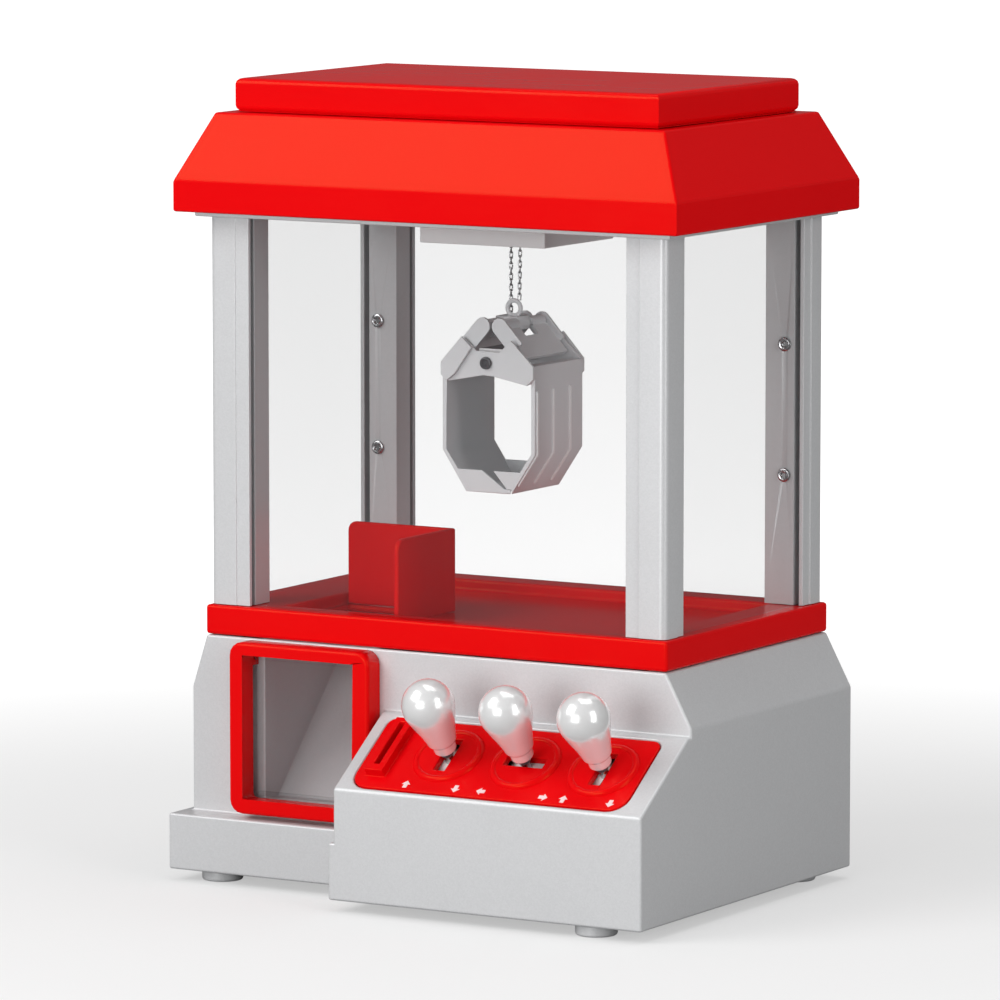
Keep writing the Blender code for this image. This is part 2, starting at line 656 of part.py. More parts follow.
def post_outline(sx, sy):
    """A corner post in plan, with a groove for each pane and a shallow step on its outer faces."""
    w, d, r, step = POST_WIDE, POST_DEEP, POST_CORNER, POST_STEP
    a, b = PANE_SET_BACK - GAP, PANE_SET_BACK + PANE_THICK + GAP
    arc = [math.radians(270 - 90 * k / 4) for k in range(5)]
    corner = [(r + r * math.cos(t), r + r * math.sin(t)) for t in arc]
    flat_x, flat_y = w - 6.5, d - 6
    front = [(flat_x, 0), (flat_x, step), (w, step), (w, a)]
    front += [(GROOVE_DEPTH_X, a), (GROOVE_DEPTH_X, b), (w, b), (w, d)]
    side = [(b, d), (b, GROOVE_DEPTH_Y), (a, GROOVE_DEPTH_Y), (a, d)]
    side += [(step, d), (step, flat_y), (0, flat_y)]
    local = corner[::-1] + front + side
    return [(sx * (POST_X - x), sy * (POST_Y - y)) for x, y in local]


def build_post_screw(post, corner, level, x, z):
    """A screw in a post's inner face, with a hexagonal recess in its head."""
    face = POST_Y - POST_DEEP
    where = f"{corner}_{level}"
    head, radius = 1.5, SCREW_SHANK + GAP
    cut(post, cylinder(f"bore_{where}", (x, face - 2, z), (x, face + 7, z), radius, sides=12))
    start, end = (x, face - GAP - head, z), (x, face - GAP, z)
    screw = cylinder(f"screw_{where}", start, end, SCREW_HEAD, STEEL, 16)
    join(screw, cylinder(f"shank_{where}", (x, face - 1, z), (x, face + 6, z), SCREW_SHANK, sides=12))
    cut(screw, cylinder(f"recess_{where}", (x, face - 3, z), (x, face - 1, z), SCREW_RECESS, sides=6))


def build_cabin():
    low, high = BAND_TOP + GAP, CEILING - GAP
    for corner, sx, sy in corner_signs():
        post = plate("post_" + corner, [post_outline(sx, sy)], "XY", low, high, SILVER)
        if sy < 0:
            continue
        for level, z in SCREW_HEIGHTS.items():
            build_post_screw(post, corner, level, sx * SCREW_X, z)
    reach_x = POST_X - GROOVE_DEPTH_X - GAP
    reach_y = POST_Y - GROOVE_DEPTH_Y - GAP
    face_x, face_y = POST_X - PANE_SET_BACK, POST_Y - PANE_SET_BACK
    for name, sign in (("pane_front", -1), ("pane_rear", 1)):
        y0, y1 = sorted((sign * face_y, sign * (face_y - PANE_THICK)))
        box(name, (-reach_x, y0, low), (reach_x, y1, high), CLEAR)
    for name, sign in (("pane_left", -1), ("pane_right", 1)):
        x0, x1 = sorted((sign * face_x, sign * (face_x - PANE_THICK)))
        box(name, (x0, -reach_y, low), (x1, reach_y, high), CLEAR)


# Roof


def stacked(name, levels, finish=None):
    """A closed solid of rectangular levels, each given as its half sizes and its height."""
    bm = bmesh.new()
    loops = []
    for x, y, z in levels:
        corners = [bm.verts.new(metres((u, v, z))) for u, v in rectangle(-x, x, -y, y)]
        loops.append([bm.edges.new((corners[k - 1], corners[k])) for k in range(4)])
    for lower, upper in zip(loops, loops[1:]):
        bmesh.ops.bridge_loops(bm, edges=lower + upper)
    bmesh.ops.holes_fill(bm, edges=loops[0] + loops[-1])
    return add(name, bm, finish)


def build_roof():
    levels = [
        (SKIRT_X, SKIRT_Y, SKIRT_BOTTOM),
        (SKIRT_X, SKIRT_Y, SKIRT_TOP),
        (SKIRT_X - SLOPE_RUN, SKIRT_Y - SLOPE_RUN, DECK_TOP),
    ]
    roof = stacked("roof", levels, RED)
    inner = [(x - WALL, y - WALL, z - 0.35 * WALL) for x, y, z in levels]
    inner[0] = (SKIRT_X - WALL, SKIRT_Y - WALL, SKIRT_BOTTOM - 5)
    inner[2] = (inner[2][0], inner[2][1], DECK_TOP - WALL)
    opening_x, opening_y = LID_X - LID_SEAT, LID_Y - LID_SEAT
    low, high = DECK_TOP - 15, DECK_TOP + 10
    opening = box("roof_opening", (-opening_x, -opening_y, low), (opening_x, opening_y, high))
    cut(roof, stacked("roof_room", inner), opening)
    axis_y, axis_z = lid_hinge()
    for side, sign in (("left", -1), ("right", 1)):
        start, end = sorted((sign * EAR_START, sign * EAR_END))
        ear = cylinder(f"ear_{side}", (start, axis_y, axis_z), (end, axis_y, axis_z), EAR_RADIUS, sides=16)
        half = EAR_RADIUS - GAP
        low, high = (start + GAP, axis_y - half, DECK_TOP - 1), (end - GAP, axis_y + half, axis_z + 0.5)
        join(roof, ear, box(f"ear_foot_{side}", low, high))
    return cut(roof, hinge_bore("roof_bore"))


def hinge_bore(name):
    axis_y, axis_z = lid_hinge()
    reach = EAR_END + 3.5
    return cylinder(name, (-reach, axis_y, axis_z), (reach, axis_y, axis_z), HINGE_BORE, sides=12)


def lid_hinge():
    return LID_Y + 3.2, DECK_TOP + 3.3


def build_lid():
    base = DECK_TOP + GAP
    lid = box("roof_lid", (-LID_X, -LID_Y, base), (LID_X, LID_Y, LID_TOP), RED)
    inner_x, inner_y = LID_X - WALL, LID_Y - WALL
    cut(lid, box("lid_room", (-inner_x, -inner_y, base - 5), (inner_x, inner_y, LID_TOP - WALL)))
    axis_y, axis_z = lid_hinge()
    for side, sign in (("left", -1), ("right", 1)):
        start, end = sorted((sign * KNUCKLE_START, sign * KNUCKLE_END))
        at = (axis_y, axis_z)
        barrel = cylinder(f"knuckle_{side}", (start, *at), (end, *at), KNUCKLE_RADIUS, sides=16)
        low, high = (start, LID_Y - 1, axis_z - 1.6), (end, axis_y, axis_z + KNUCKLE_RADIUS)
        join(lid, barrel, box(f"web_{side}", low, high))
    cut(lid, hinge_bore("lid_bore"))
    move_origin(lid, (0, axis_y, axis_z))
    reach = EAR_END - 0.2
    cylinder("lid_hinge_rod", (-reach, axis_y, axis_z), (reach, axis_y, axis_z), HINGE_ROD, STEEL, 12)


def rack_outline(start, end, root, base):
    """A toothed rack seen from its side, with a gap at 0 for the pinion's lowest tooth."""
    pitch = math.pi * MODULE
    half_top, half_root = 0.38 * MODULE, 1.2 * MODULE
    top = root + 2.1 * MODULE
    points = [(start, base), (end, base), (end, root)]
    count = int(min(-start, end) / pitch)
    for k in range(count - 1, -count - 1, -1):
        middle = (k + 0.5) * pitch
        points += [(middle + half_root, root), (middle + half_top, top)]
        points += [(middle - half_top, top), (middle - half_root, root)]
    return points + [(start, root)]


def pinion_outline(y, z):
    """A pinion with one tooth pointing straight down into its rack."""
    outer, root = PINION_PITCH + TOOTH_TOP, PINION_PITCH - TOOTH_ROOT
    half_top, half_root = 0.30 * MODULE / outer, 1.0 * MODULE / root
    points = []
    for tooth in range(PINION_TEETH):
        middle = -math.pi / 2 + 2 * math.pi * tooth / PINION_TEETH
        for radius, turn in ((root, -half_root), (outer, -half_top), (outer, half_top), (root, half_root)):
            points.append((y + radius * math.cos(middle + turn), z + radius * math.sin(middle + turn)))
    return points


def build_top_frame():
    hole = rectangle(-FRAME_HOLE_X, FRAME_HOLE_X, -FRAME_HOLE_Y, FRAME_HOLE_Y)
    lip_top = CEILING + FRAME_LIP_THICK
    lip = rectangle(-FRAME_LIP_X, FRAME_LIP_X, -FRAME_LIP_Y, FRAME_LIP_Y)
    ring = rectangle(-FRAME_X, FRAME_X, -FRAME_Y, FRAME_Y)
    frame = plate("top_frame", [lip, hole], "XY", CEILING, lip_top, SILVER)
    join(frame, plate("frame_ring", [ring, hole], "XY", lip_top - 0.5, FRAME_TOP))
    for corner, sx, sy in corner_signs():
        x0, x1 = sorted((sx * (RAIL_X - 5), sx * (RAIL_X + 5)))
        y0, y1 = sorted((sy * BOSS_START, sy * (BOSS_START + BOSS_DEEP)))
        join(frame, box("boss_" + corner, (x0, y0, FRAME_TOP - 1), (x1, y1, RAIL_Z + 4)))
        near, far = BOSS_START - 12.5, BOSS_START + 7.5
        start, end = (sx * RAIL_X, sy * near, RAIL_Z), (sx * RAIL_X, sy * far, RAIL_Z)
        cut(frame, cylinder("bore_" + corner, start, end, ROD_BORE, sides=16))
    root = FRAME_PINION_Z - PINION_PITCH - TOOTH_ROOT
    outline = rack_outline(-FRAME_RACK_REACH, FRAME_RACK_REACH, root, FRAME_TOP - 1)
    join(frame, plate("frame_rack", [outline], "YZ", *FRAME_RACK))


def build_rails():
    for name, x in (("rail_left", -RAIL_X), ("rail_right", RAIL_X)):
        cylinder(name, (x, -RAIL_END, RAIL_Z), (x, RAIL_END, RAIL_Z), ROD_RADIUS, STEEL, 16)


def build_bridge():
    """Two end blocks that run on the rails, tied by the beam that carries the trolley's rack."""
    inner, outer, block_top = BLOCK_INNER, BLOCK_OUTER, CROSS_Z + 4.5
    beam_front, beam_rear = BEAM_Y
    block_rear = beam_rear + 1
    beam_root = BEAM_PINION_Z - PINION_PITCH - TOOTH_ROOT
    bridge = box("bridge", (-outer, BLOCK_FRONT, BLOCK_FLOOR), (-inner, block_rear, block_top), GREY)
    right = box("bridge_right", (inner, BLOCK_FRONT, BLOCK_FLOOR), (outer, block_rear, block_top))
    teeth = rack_outline(-BEAM_RACK_REACH, BEAM_RACK_REACH, beam_root, BEAM_FLOOR)
    outline = [(x + BEAM_PINION_X, z) for x, z in teeth]
    rack = plate("beam_rack", [outline], "XZ", beam_front, beam_rear)
    beam = box("beam", (-inner - 1, beam_front, BEAM_FLOOR), (inner + 1, beam_rear, beam_root))
    join(bridge, right, beam, rack)
    for side, x in (("left", -RAIL_X), ("right", RAIL_X)):
        start, end = (x, BLOCK_FRONT - 10, RAIL_Z), (x, block_rear + 7, RAIL_Z)
        cut(bridge, cylinder(f"rail_bore_{side}", start, end, ROD_BORE, sides=16))
    reach = outer - 4
    for side, sign in (("front", -1), ("rear", 1)):
        at = (sign * CROSS_Y, CROSS_Z)
        start, end = (-reach - 1, *at), (reach + 1, *at)
        cut(bridge, cylinder(f"cross_bore_{side}", start, end, ROD_BORE, sides=16))
        cylinder(f"cross_rod_{side}", (-reach, *at), (reach, *at), ROD_RADIUS, STEEL, 16)
    seat = MOTOR_HALF + 0.5
    cut(bridge, box("motor_seat", (-outer - 11, -seat, RAIL_Z + 3.6), (7 - inner, seat, block_top + 18)))


def build_motor(name, low, high, shaft_start, shaft_end):
    motor = box(name, low, high, WHITE)
    join(motor, cylinder(name + "_shaft", shaft_start, shaft_end, MOTOR_SHAFT, sides=12))
    return motor


def build_pinions():
    bore = circle(0, FRAME_PINION_Z, MOTOR_SHAFT + GAP, 12)
    outline = pinion_outline(0, FRAME_PINION_Z)
    pinion = plate("bridge_pinion", [outline, bore], "YZ", *FRAME_RACK, WHITE)
    move_origin(pinion, (sum(FRAME_RACK) / 2, 0, FRAME_PINION_Z))
    x = BEAM_PINION_X
    bore = circle(x, BEAM_PINION_Z, MOTOR_SHAFT + GAP, 12)
    outline = pinion_outline(x, BEAM_PINION_Z)
    pinion = plate("trolley_pinion", [outline, bore], "XZ", *BEAM_Y, WHITE)
    move_origin(pinion, (x, sum(BEAM_Y) / 2, BEAM_PINION_Z))
    left, half = 1 - BLOCK_OUTER, MOTOR_HALF
    build_motor(
        "bridge_gearmotor",
        (left, -half, RAIL_Z + 3.9),
        (left + 2 * half, half, FRAME_PINION_Z + 11),
        (left + 1, 0, FRAME_PINION_Z),
        (FRAME_RACK[0] + 0.5, 0, FRAME_PINION_Z),
    )
    rear = TROLLEY_Y - TROLLEY_WALL - GAP
    build_motor(
        "trolley_gearmotor",
        (x - half, CROSS_Y + ROD_RADIUS + 1, BEAM_PINION_Z - half),
        (TROLLEY_X - TROLLEY_WALL - GAP, rear, BEAM_PINION_Z + half),
        (x, rear - 0.7, BEAM_PINION_Z),
        (x, BEAM_Y[1] - 0.5, BEAM_PINION_Z),
    )


def build_trolley():
    """The housing that hangs a little below the ceiling, with towers that carry the chain drum."""
    x, y, wall = TROLLEY_X, TROLLEY_Y, TROLLEY_WALL
    trolley = box("trolley", (-x, -y, TROLLEY_BOTTOM), (x, y, TROLLEY_TOP), GREY_LIGHT)
    for side, sign in (("left", -1), ("right", 1)):
        x0, x1 = sorted((sign * (x - wall), sign * x))
        low, high = (x0, DRUM_Y - 11.8, TROLLEY_TOP - 2), (x1, DRUM_Y + 11.2, TOWER_TOP)
        tower = box(f"tower_{side}", low, high)
        join(trolley, tower)
    low, high = (wall - x, wall - y, TROLLEY_BOTTOM + wall), (x - wall, y - wall, TOWER_TOP + 6)
    room = box("trolley_room", low, high)
    chain_slot = box(
        "chain_slot",
        (CHAIN_MIDDLE - CHAIN_OFFSET - 2, CHAIN_Y - 4, TROLLEY_BOTTOM - 5),
        (CHAIN_MIDDLE + CHAIN_OFFSET + 2, CHAIN_Y + 2, TROLLEY_BOTTOM + 5),
    )
    cut(trolley, room, chain_slot)
    for side, sign in (("front", -1), ("rear", 1)):
        at = (sign * CROSS_Y, CROSS_Z)
        start, end = (-x - 9, *at), (x + 9, *at)
        cut(trolley, cylinder(f"trolley_bore_{side}", start, end, ROD_BORE, sides=16))
    start, end = (x - 11, DRUM_Y, DRUM_Z), (x + 9, DRUM_Y, DRUM_Z)
    cut(trolley, cylinder("axle_bore", start, end, DRUM_AXLE + GAP, sides=16))
    start, end = (BEAM_PINION_X, y - 10, BEAM_PINION_Z), (BEAM_PINION_X, y + 10, BEAM_PINION_Z)
    cut(trolley, cylinder("pinion_shaft_hole", start, end, MOTOR_SHAFT + 0.5, sides=12))
    move_origin(trolley, (0, 0, CROSS_Z))
    left, right, half = wall + GAP - x, CHAIN_MIDDLE - DRUM_HALF - 1.5, MOTOR_HALF - 0.5
    build_motor(
        "hoist_gearmotor",
        (left, DRUM_Y - half, DRUM_Z - half),
        (right, DRUM_Y + half, DRUM_Z + half),
        (right - 1, DRUM_Y, DRUM_Z),
        (right + 4.5, DRUM_Y, DRUM_Z),
    )


def build_drum():
    """The spool with a groove for each chain, on an axle that the right tower carries."""
    left, middle, right = CHAIN_MIDDLE - DRUM_HALF, CHAIN_MIDDLE, CHAIN_MIDDLE + DRUM_HALF
    core, flange, cheek = DRUM_CORE, DRUM_FLANGE, DRUM_CHEEK
    profile = [
        (0, TROLLEY_X),
        (DRUM_AXLE, TROLLEY_X),
        (DRUM_AXLE, right),
        (flange, right),
        (flange, right - cheek),
        (core, right - cheek),
        (core, middle + cheek / 2),
        (flange, middle + cheek / 2),
        (flange, middle - cheek / 2),
        (core, middle - cheek / 2),
        (core, left + cheek),
        (flange, left + cheek),
        (flange, left),
        (MOTOR_SHAFT + GAP, left),
        (MOTOR_SHAFT + GAP, left + 4.5),
        (0, left + 4.5),
    ]
    drum = turned("hoist_drum", profile, WHITE, 20)
    drum.rotation_euler = (0, math.radians(90), 0)
    drum.location = metres((0, DRUM_Y, DRUM_Z))


# Claw


def build_chains():
    reach = math.sqrt((RING_MAJOR + RING_MINOR) ** 2 - CHAIN_OFFSET**2)
    hold_x, close_x = CHAIN_MIDDLE + CHAIN_OFFSET, CHAIN_MIDDLE - CHAIN_OFFSET
    end = (hold_x, RING_Y, RING_Z + reach + 0.5)
    cylinder("chain_hold", (hold_x, CHAIN_Y, DRUM_Z), end, CHAIN_RADIUS, STEEL, 10)
    end = (close_x, CHAIN_Y, PIN_Z + CROSSHEAD_TOP + 0.6)
    cylinder("chain_close", (close_x, CHAIN_Y, DRUM_Z), end, CHAIN_RADIUS, STEEL, 10)


def from_pin(points, side=1):
    """Points given from the claw's pin, for the right jaw or, with side -1, the left one."""
    return [(CLAW_X + side * x, PIN_Z + z) for x, z in points]


def build_claw_head():
    """The block with the hanging ring, the two rods that the links turn on, and the chain's hole."""
    x, z = CLAW_X, PIN_Z + LINK_Z
    head = box("claw_head", (x - 5.6, -5, z - 2.6), (x + 5.6, 5, z + 3.4), GREY)
    for side, sign in (("left", -1), ("right", 1)):
        at = x + sign * LINK_X
        rod = cylinder(f"head_rod_{side}", (at, -PLATE_REACH, z), (at, PLATE_REACH, z), HEAD_ROD, sides=12)
        join(head, rod)
    bm = bmesh.new()
    ring_steps, tube_steps = 20, 8
    for k in range(tube_steps):
        turn = 2 * math.pi * k / tube_steps
        radius = RING_MAJOR + RING_MINOR * math.cos(turn)
        bm.verts.new(metres((radius, RING_MINOR * math.sin(turn), 0)))
    bm.verts.ensure_lookup_table()
    for k in range(tube_steps):
        bm.edges.new((bm.verts[k], bm.verts[(k + 1) % tube_steps]))
    bmesh.ops.spin(
        bm,
        geom=bm.verts[:] + bm.edges[:],
        axis=(0, 1, 0),
        cent=(0, 0, 0),
        angle=2 * math.pi,
        steps=ring_steps,
        use_merge=True,
    )
    bmesh.ops.remove_doubles(bm, verts=bm.verts, dist=0.00001)
    bmesh.ops.translate(bm, vec=metres((CHAIN_MIDDLE, RING_Y, RING_Z)), verts=bm.verts)
    ring = add("head_ring", bm)
    hole_at = (CHAIN_MIDDLE - CHAIN_OFFSET, CHAIN_Y)
    join(head, ring)
    start, end = (*hole_at, z - 10), (*hole_at, z + 2 * LINK_Z)
    cut(head, cylinder("head_hole", start, end, CHAIN_RADIUS + 0.4, sides=12))
    move_origin(head, (x, 0, z))


def build_link(name, side):
    """A wide upper link: its plate, its side cheeks, and the barrels on the head's rod."""
    head, foot = Vector((LINK_X, LINK_Z)), Vector(SHOULDER)
    along = (foot - head).normalized()
    across = Vector((-along.y, along.x))
    half, reach = LINK_HALF, LINK_LAYER + 0.4
    sheet = [head + across * half, head - across * half, foot - across * half, foot + across * half]
    link = plate(name, [from_pin([tuple(p) for p in sheet], side)], "XZ", -reach, reach, GREY)
    centre = (CLAW_X + side * LINK_X, PIN_Z + LINK_Z)
    circle_of_barrel = circle(*centre, HEAD_ROD + 1.3, 16)
    join(link, plate(name + "_barrel", [circle_of_barrel], "XZ", -PLATE_REACH, PLATE_REACH))
    arc = [math.atan2(across.y, across.x) + math.pi * k / 6 for k in range(7)]
    cheek = [head + Vector((math.cos(t), math.sin(t))) * LINK_CHEEK for t in arc]
    tail = head + along * LINK_TAIL
    cheek += [tail - across * LINK_CHEEK, tail + across * LINK_CHEEK]
    points = from_pin([tuple(p) for p in cheek], side)
    for end, low in (("front", -LINK_LAYER - LAYER), ("rear", LINK_LAYER)):
        join(link, plate(f"{name}_{end}", [points], "XZ", low, low + LAYER))
    clear = box(
        name + "_clear",
        (CLAW_X - 9.8, -5.4, centre[1] - 6.5),
        (CLAW_X + 9.8, 5.4, centre[1] + 9),
    )
    reach = LINK_LAYER + LAYER - 0.4
    start, end = (centre[0], -reach, centre[1]), (centre[0], reach, centre[1])
    bore = cylinder(name + "_bore", start, end, HEAD_ROD + GAP, sides=12)
    cut(link, clear, bore)
    move_origin(link, (centre[0], 0, centre[1]))


def build_crosshead():
    """The pin that both jaws turn on, with the plate over it that the closing chain lifts."""
    x, z = CLAW_X, PIN_Z
    reach = OUTER_LAYER + LAYER + 0.8
    crosshead = cylinder("crosshead", (x, -reach, z), (x, reach, z), PIN_RADIUS, GREY_DARK, 20)
    span, top_z = PLATE_REACH, z + CROSSHEAD_TOP
    web = box("crosshead_web", (x - 1.2, -span, z), (x + 1.2, span, top_z - 1.6))
    top = box("crosshead_plate", (x - 7, -span, top_z - 2), (x + 7, span, top_z))
    join(crosshead, web, top)
    move_origin(crosshead, (x, 0, z))


def build_jaw(name, side):
    """One half of the bucket. The left jaw is the right one turned half a turn about Z."""
    h, s = JAW_HALF, JAW_SHEET
    lean = Vector((h - JAW_FLAT, JAW_BOTTOM - JAW_DROP)).normalized()
    wall = [
        (h, -0.5),
        (h, -JAW_DROP),
        (JAW_FLAT, -JAW_BOTTOM),
        (-JAW_FLAT, -JAW_BOTTOM),
        (-JAW_FLAT, s - JAW_BOTTOM),
        (JAW_FLAT - s * (1 - lean.x) / lean.y, s - JAW_BOTTOM),
        (h - s, -JAW_DROP + s * (1 - lean.y) / lean.x * 0.5),
        (h - s, -0.5),
    ]
    width = INNER_LAYER + LAYER
    jaw = plate(name, [from_pin(wall, side)], "XZ", -width, width, GREY)

    def flat(part, outline, low, high, holes=()):
        """A side plate of the jaw, low and high being distances towards the rear of a right jaw."""
        y0, y1 = sorted((side * low, side * high))
        made = [from_pin(outline, side), *[from_pin(hole, side) for hole in holes]]
        return plate(f"{name}_{part}", made, "XZ", y0, y1)

    bore = circle(0, 0, PIN_RADIUS + GAP, 16)
    arm = [(-4.6, 0), (-3.4, -4.2), (0, -5.6), (3, -5.7), (20, -8.9), (h, -6), (h, -0.5)]
    arm += [(12, 10.2), (6.3, 4.8), (2.5, 5.0), (-2.2, 4.6)]
    horn = [(h, -0.5), (12.8, 10.9), (7.8, 6.3), (16.2, -5.4), (20, -8.5), (h, -6)]
    slope = (h - JAW_FLAT) / (JAW_BOTTOM - JAW_DROP)
    floor = 0.4 - JAW_BOTTOM
    upper_edge = h - slope * (CHEEK_TOP - JAW_DROP) - 0.3
    lower_edge = JAW_FLAT - 0.5
    near = [(2.2, -CHEEK_TOP), (upper_edge, -CHEEK_TOP), (lower_edge, floor), (lower_edge - 0.8, floor + 0.4)]
    far = [(3.5, -CHEEK_TOP), (-10.2, floor), (lower_edge, floor), (upper_edge, -CHEEK_TOP)]
    shoulder_y = OUTER_LAYER + LAYER
    edge = [(h - 2.5, -8.6), (h, -6), (h, -0.5), (h - 2.5, -0.5)]
    shoulder = flat("shoulder", edge, -shoulder_y, shoulder_y)
    flange_y = INNER_LAYER - 0.6
    flange = flat("flange", rectangle(h - 6.3, h, -2, -0.5), -flange_y, flange_y)
    join(
        jaw,
        shoulder,
        flange,
        flat("arm_outer", arm, -OUTER_LAYER - LAYER, -OUTER_LAYER, [bore]),
        flat("arm_inner", arm, INNER_LAYER, INNER_LAYER + LAYER, [bore]),
        flat("horn", horn, OUTER_LAYER, OUTER_LAYER + LAYER),
        flat("cheek_near", near, -width, -width + LAYER),
        flat("cheek_far", far, width - LAYER, width),
    )
    slant = 26 * JAW_FLAT / width
    gap = 0.25
    beyond = [(slant + gap, -26), (gap - slant, 26), (-60, 26), (-60, -26)]
    turned_round = [(CLAW_X + side * x, side * y) for x, y in beyond]
    split = plate(name + "_split", [turned_round], "XY", PIN_Z - 62, PIN_Z - JAW_BOTTOM + s + 0.02)
    keep_cheek = flat("cheek_far_again", far, width - LAYER, width)
    cut(jaw, split)
    join(jaw, keep_cheek)
    move_origin(jaw, (CLAW_X, 0, PIN_Z))


# Controls


def on_panel(obj):
    """Takes an object drawn in the panel's own frame and lays it on the console's slope."""
    obj.parent = PANEL_FRAME
    return obj


def down(s):
    return -s


def panel_outline(grow):
    return rounded(
        PANEL_LEFT - grow,
        PANEL_RIGHT + grow,
        down(PANEL_LOWER + grow),
        down(PANEL_UPPER - grow),
        (8 + grow, 8 + grow, 4 + grow, 4 + grow),
    )


def slot_outline(name, x, extra=0.0):
    """The slot that a lever moves in: along the slope at the sides, across it in the middle."""
    long, wide = SLOT_LONG / 2 + extra, SLOT_WIDE / 2 + extra
    if name == "middle":
        long, wide = wide, long
    middle = down(STICK_DOWN)
    return rectangle(x - wide, x + wide, middle - long, middle + long)


def build_control_panel():
    panel = plate("control_panel", [panel_outline(0)], "XY", -PANEL_THICK, PANEL_RISE, RED)
    on_panel(panel)
    for name, x in STICKS.items():
        at = (x, down(STICK_DOWN))
        low, high = (*at, -1), (*at, DISC_RISE)
        disc = cylinder(f"disc_{name}", low, high, DISC_RADIUS, sides=28, radius_end=DISC_RADIUS - 1)
        join(panel, on_panel(disc))
    for name, x in STICKS.items():
        cut(panel, on_panel(plate(f"slot_{name}", [slot_outline(name, x)], "XY", -8, 8)))
    half, slit_half = COIN_BLOCK_HALF, COIN_SLOT / 2
    low, high = (COIN_X - half, down(COIN_LOWER), -1), (COIN_X + half, down(COIN_UPPER), COIN_BLOCK_RISE)
    block = box("coin_block", low, high)
    low, high = (COIN_X - slit_half, down(COIN_LOWER - 4), -8), (COIN_X + slit_half, down(COIN_UPPER + 3), 8)
    slit = box("coin_slit", low, high)
    join(panel, on_panel(block))
    cut(panel, on_panel(slit))


def build_joysticks():
    """A shelf between the console's walls holds the levers' pivots, and each lever has its knob."""
    low = -SHELF_DEPTH
    left, right = CONSOLE_LEFT + WALL + 0.4, BODY_RIGHT - WALL - 0.4
    shelf = box("joystick_socket", (left, down(40), low), (right, down(6), low + SHELF_THICK), WHITE)
    on_panel(shelf)
    middle = down(STICK_DOWN)
    for name, x in STICKS.items():
        across = name != "middle"
        for end, sign in (("a", -1), ("b", 1)):
            dx, dy = (sign * LUG_AT, 0) if across else (0, sign * LUG_AT)
            half_x, half_y = (1, 3) if across else (3, 1)
            low_corner = (x + dx - half_x, middle + dy - half_y, low + 1)
            high_corner = (x + dx + half_x, middle + dy + half_y, 3 - STICK_PIVOT)
            join(shelf, on_panel(box(f"lug_{name}_{end}", low_corner, high_corner)))
        way = Vector((1, 0, 0)) if across else Vector((0, 1, 0))
        centre = Vector((x, middle, -STICK_PIVOT))
        start, end = centre - way * 8, centre + way * 8
        cut(shelf, on_panel(cylinder(f"pivot_bore_{name}", start, end, LEVER_PIN + GAP, sides=12)))
        build_lever(name, x, middle, way)
        build_knob(name, x, middle)
    build_coin_lever(shelf)


def build_lever(name, x, middle, way):
    """A lever with its hub, its pin along the given way, and its collar in the slot."""
    centre = Vector((x, middle, -STICK_PIVOT))
    start, end = (x, middle, -STICK_PIVOT - 1.8), (x, middle, LEVER_TOP)
    lever = on_panel(cylinder(f"lever_{name}", start, end, LEVER_RADIUS, STEEL, 12))
    start, end = centre - way * LEVER_PIN_REACH, centre + way * LEVER_PIN_REACH
    pin = cylinder(f"lever_pin_{name}", start, end, LEVER_PIN, sides=12)
    hub = cylinder(f"hub_{name}", centre - way * 4.4, centre + way * 4.4, LEVER_PIN + 1, sides=12)
    foot = (x, middle, KNOB_FOOT - GAP)
    collar = cylinder(f"collar_{name}", (x, middle, 1.0), foot, COLLAR_RADIUS, sides=12)
    join(lever, on_panel(pin), on_panel(hub), on_panel(collar))
    move_origin(lever, (x, middle, -STICK_PIVOT))


def build_coin_lever(shelf):
    """The lever that a coin presses, and the post and peg of the shelf that it turns on."""
    at, deep = down(COIN_PIVOT_DOWN), -COIN_PIVOT_DEPTH
    post = box("coin_post", (COIN_X + 2.2, at - 3, 1 - SHELF_DEPTH), (COIN_X + 4.2, at + 3, deep + 3))
    peg = cylinder("coin_peg", (COIN_X + 3, at, deep), (COIN_X - 1.6, at, deep), COIN_PEG, sides=12)
    join(shelf, on_panel(post), on_panel(peg))
    tip = at + 20
    arm = [(at - 3, deep - 3), (at + 3, deep - 3), (tip, deep + 5.5), (tip, deep + 8), (tip - 4, deep + 8)]
    arm.append((at - 3, deep + 3))
    bore = circle(at, deep, COIN_PEG + GAP, 12)
    coin = plate("coin_lever", [arm, bore], "YZ", COIN_X - 1.2, COIN_X + 1.2, WHITE)
    on_panel(coin)
    move_origin(coin, (COIN_X, at, deep))


def build_knob(name, x, middle):
    """A bulb shaped knob with a blind bore for its lever."""
    angles = [math.radians(90 - 14 * k) for k in range(9)]
    ball = [(KNOB_RADIUS * math.cos(t), KNOB_CENTRE + KNOB_RADIUS * math.sin(t)) for t in angles]
    neck = [(KNOB_NECK, 12.5), (KNOB_NECK - 1.2, 10.5), (KNOB_NECK - 1.5, KNOB_FOOT)]
    profile = [(0, KNOB_CENTRE + KNOB_RADIUS), *ball[1:], *neck]
    bore = LEVER_RADIUS + GAP
    profile += [(bore, KNOB_FOOT), (bore, LEVER_TOP + GAP), (0, LEVER_TOP + GAP)]
    knob = turned("knob_" + name, [(r, z + STICK_PIVOT) for r, z in profile], CHROME, 18)
    on_panel(knob)
    knob.location = metres((x, middle, -STICK_PIVOT))


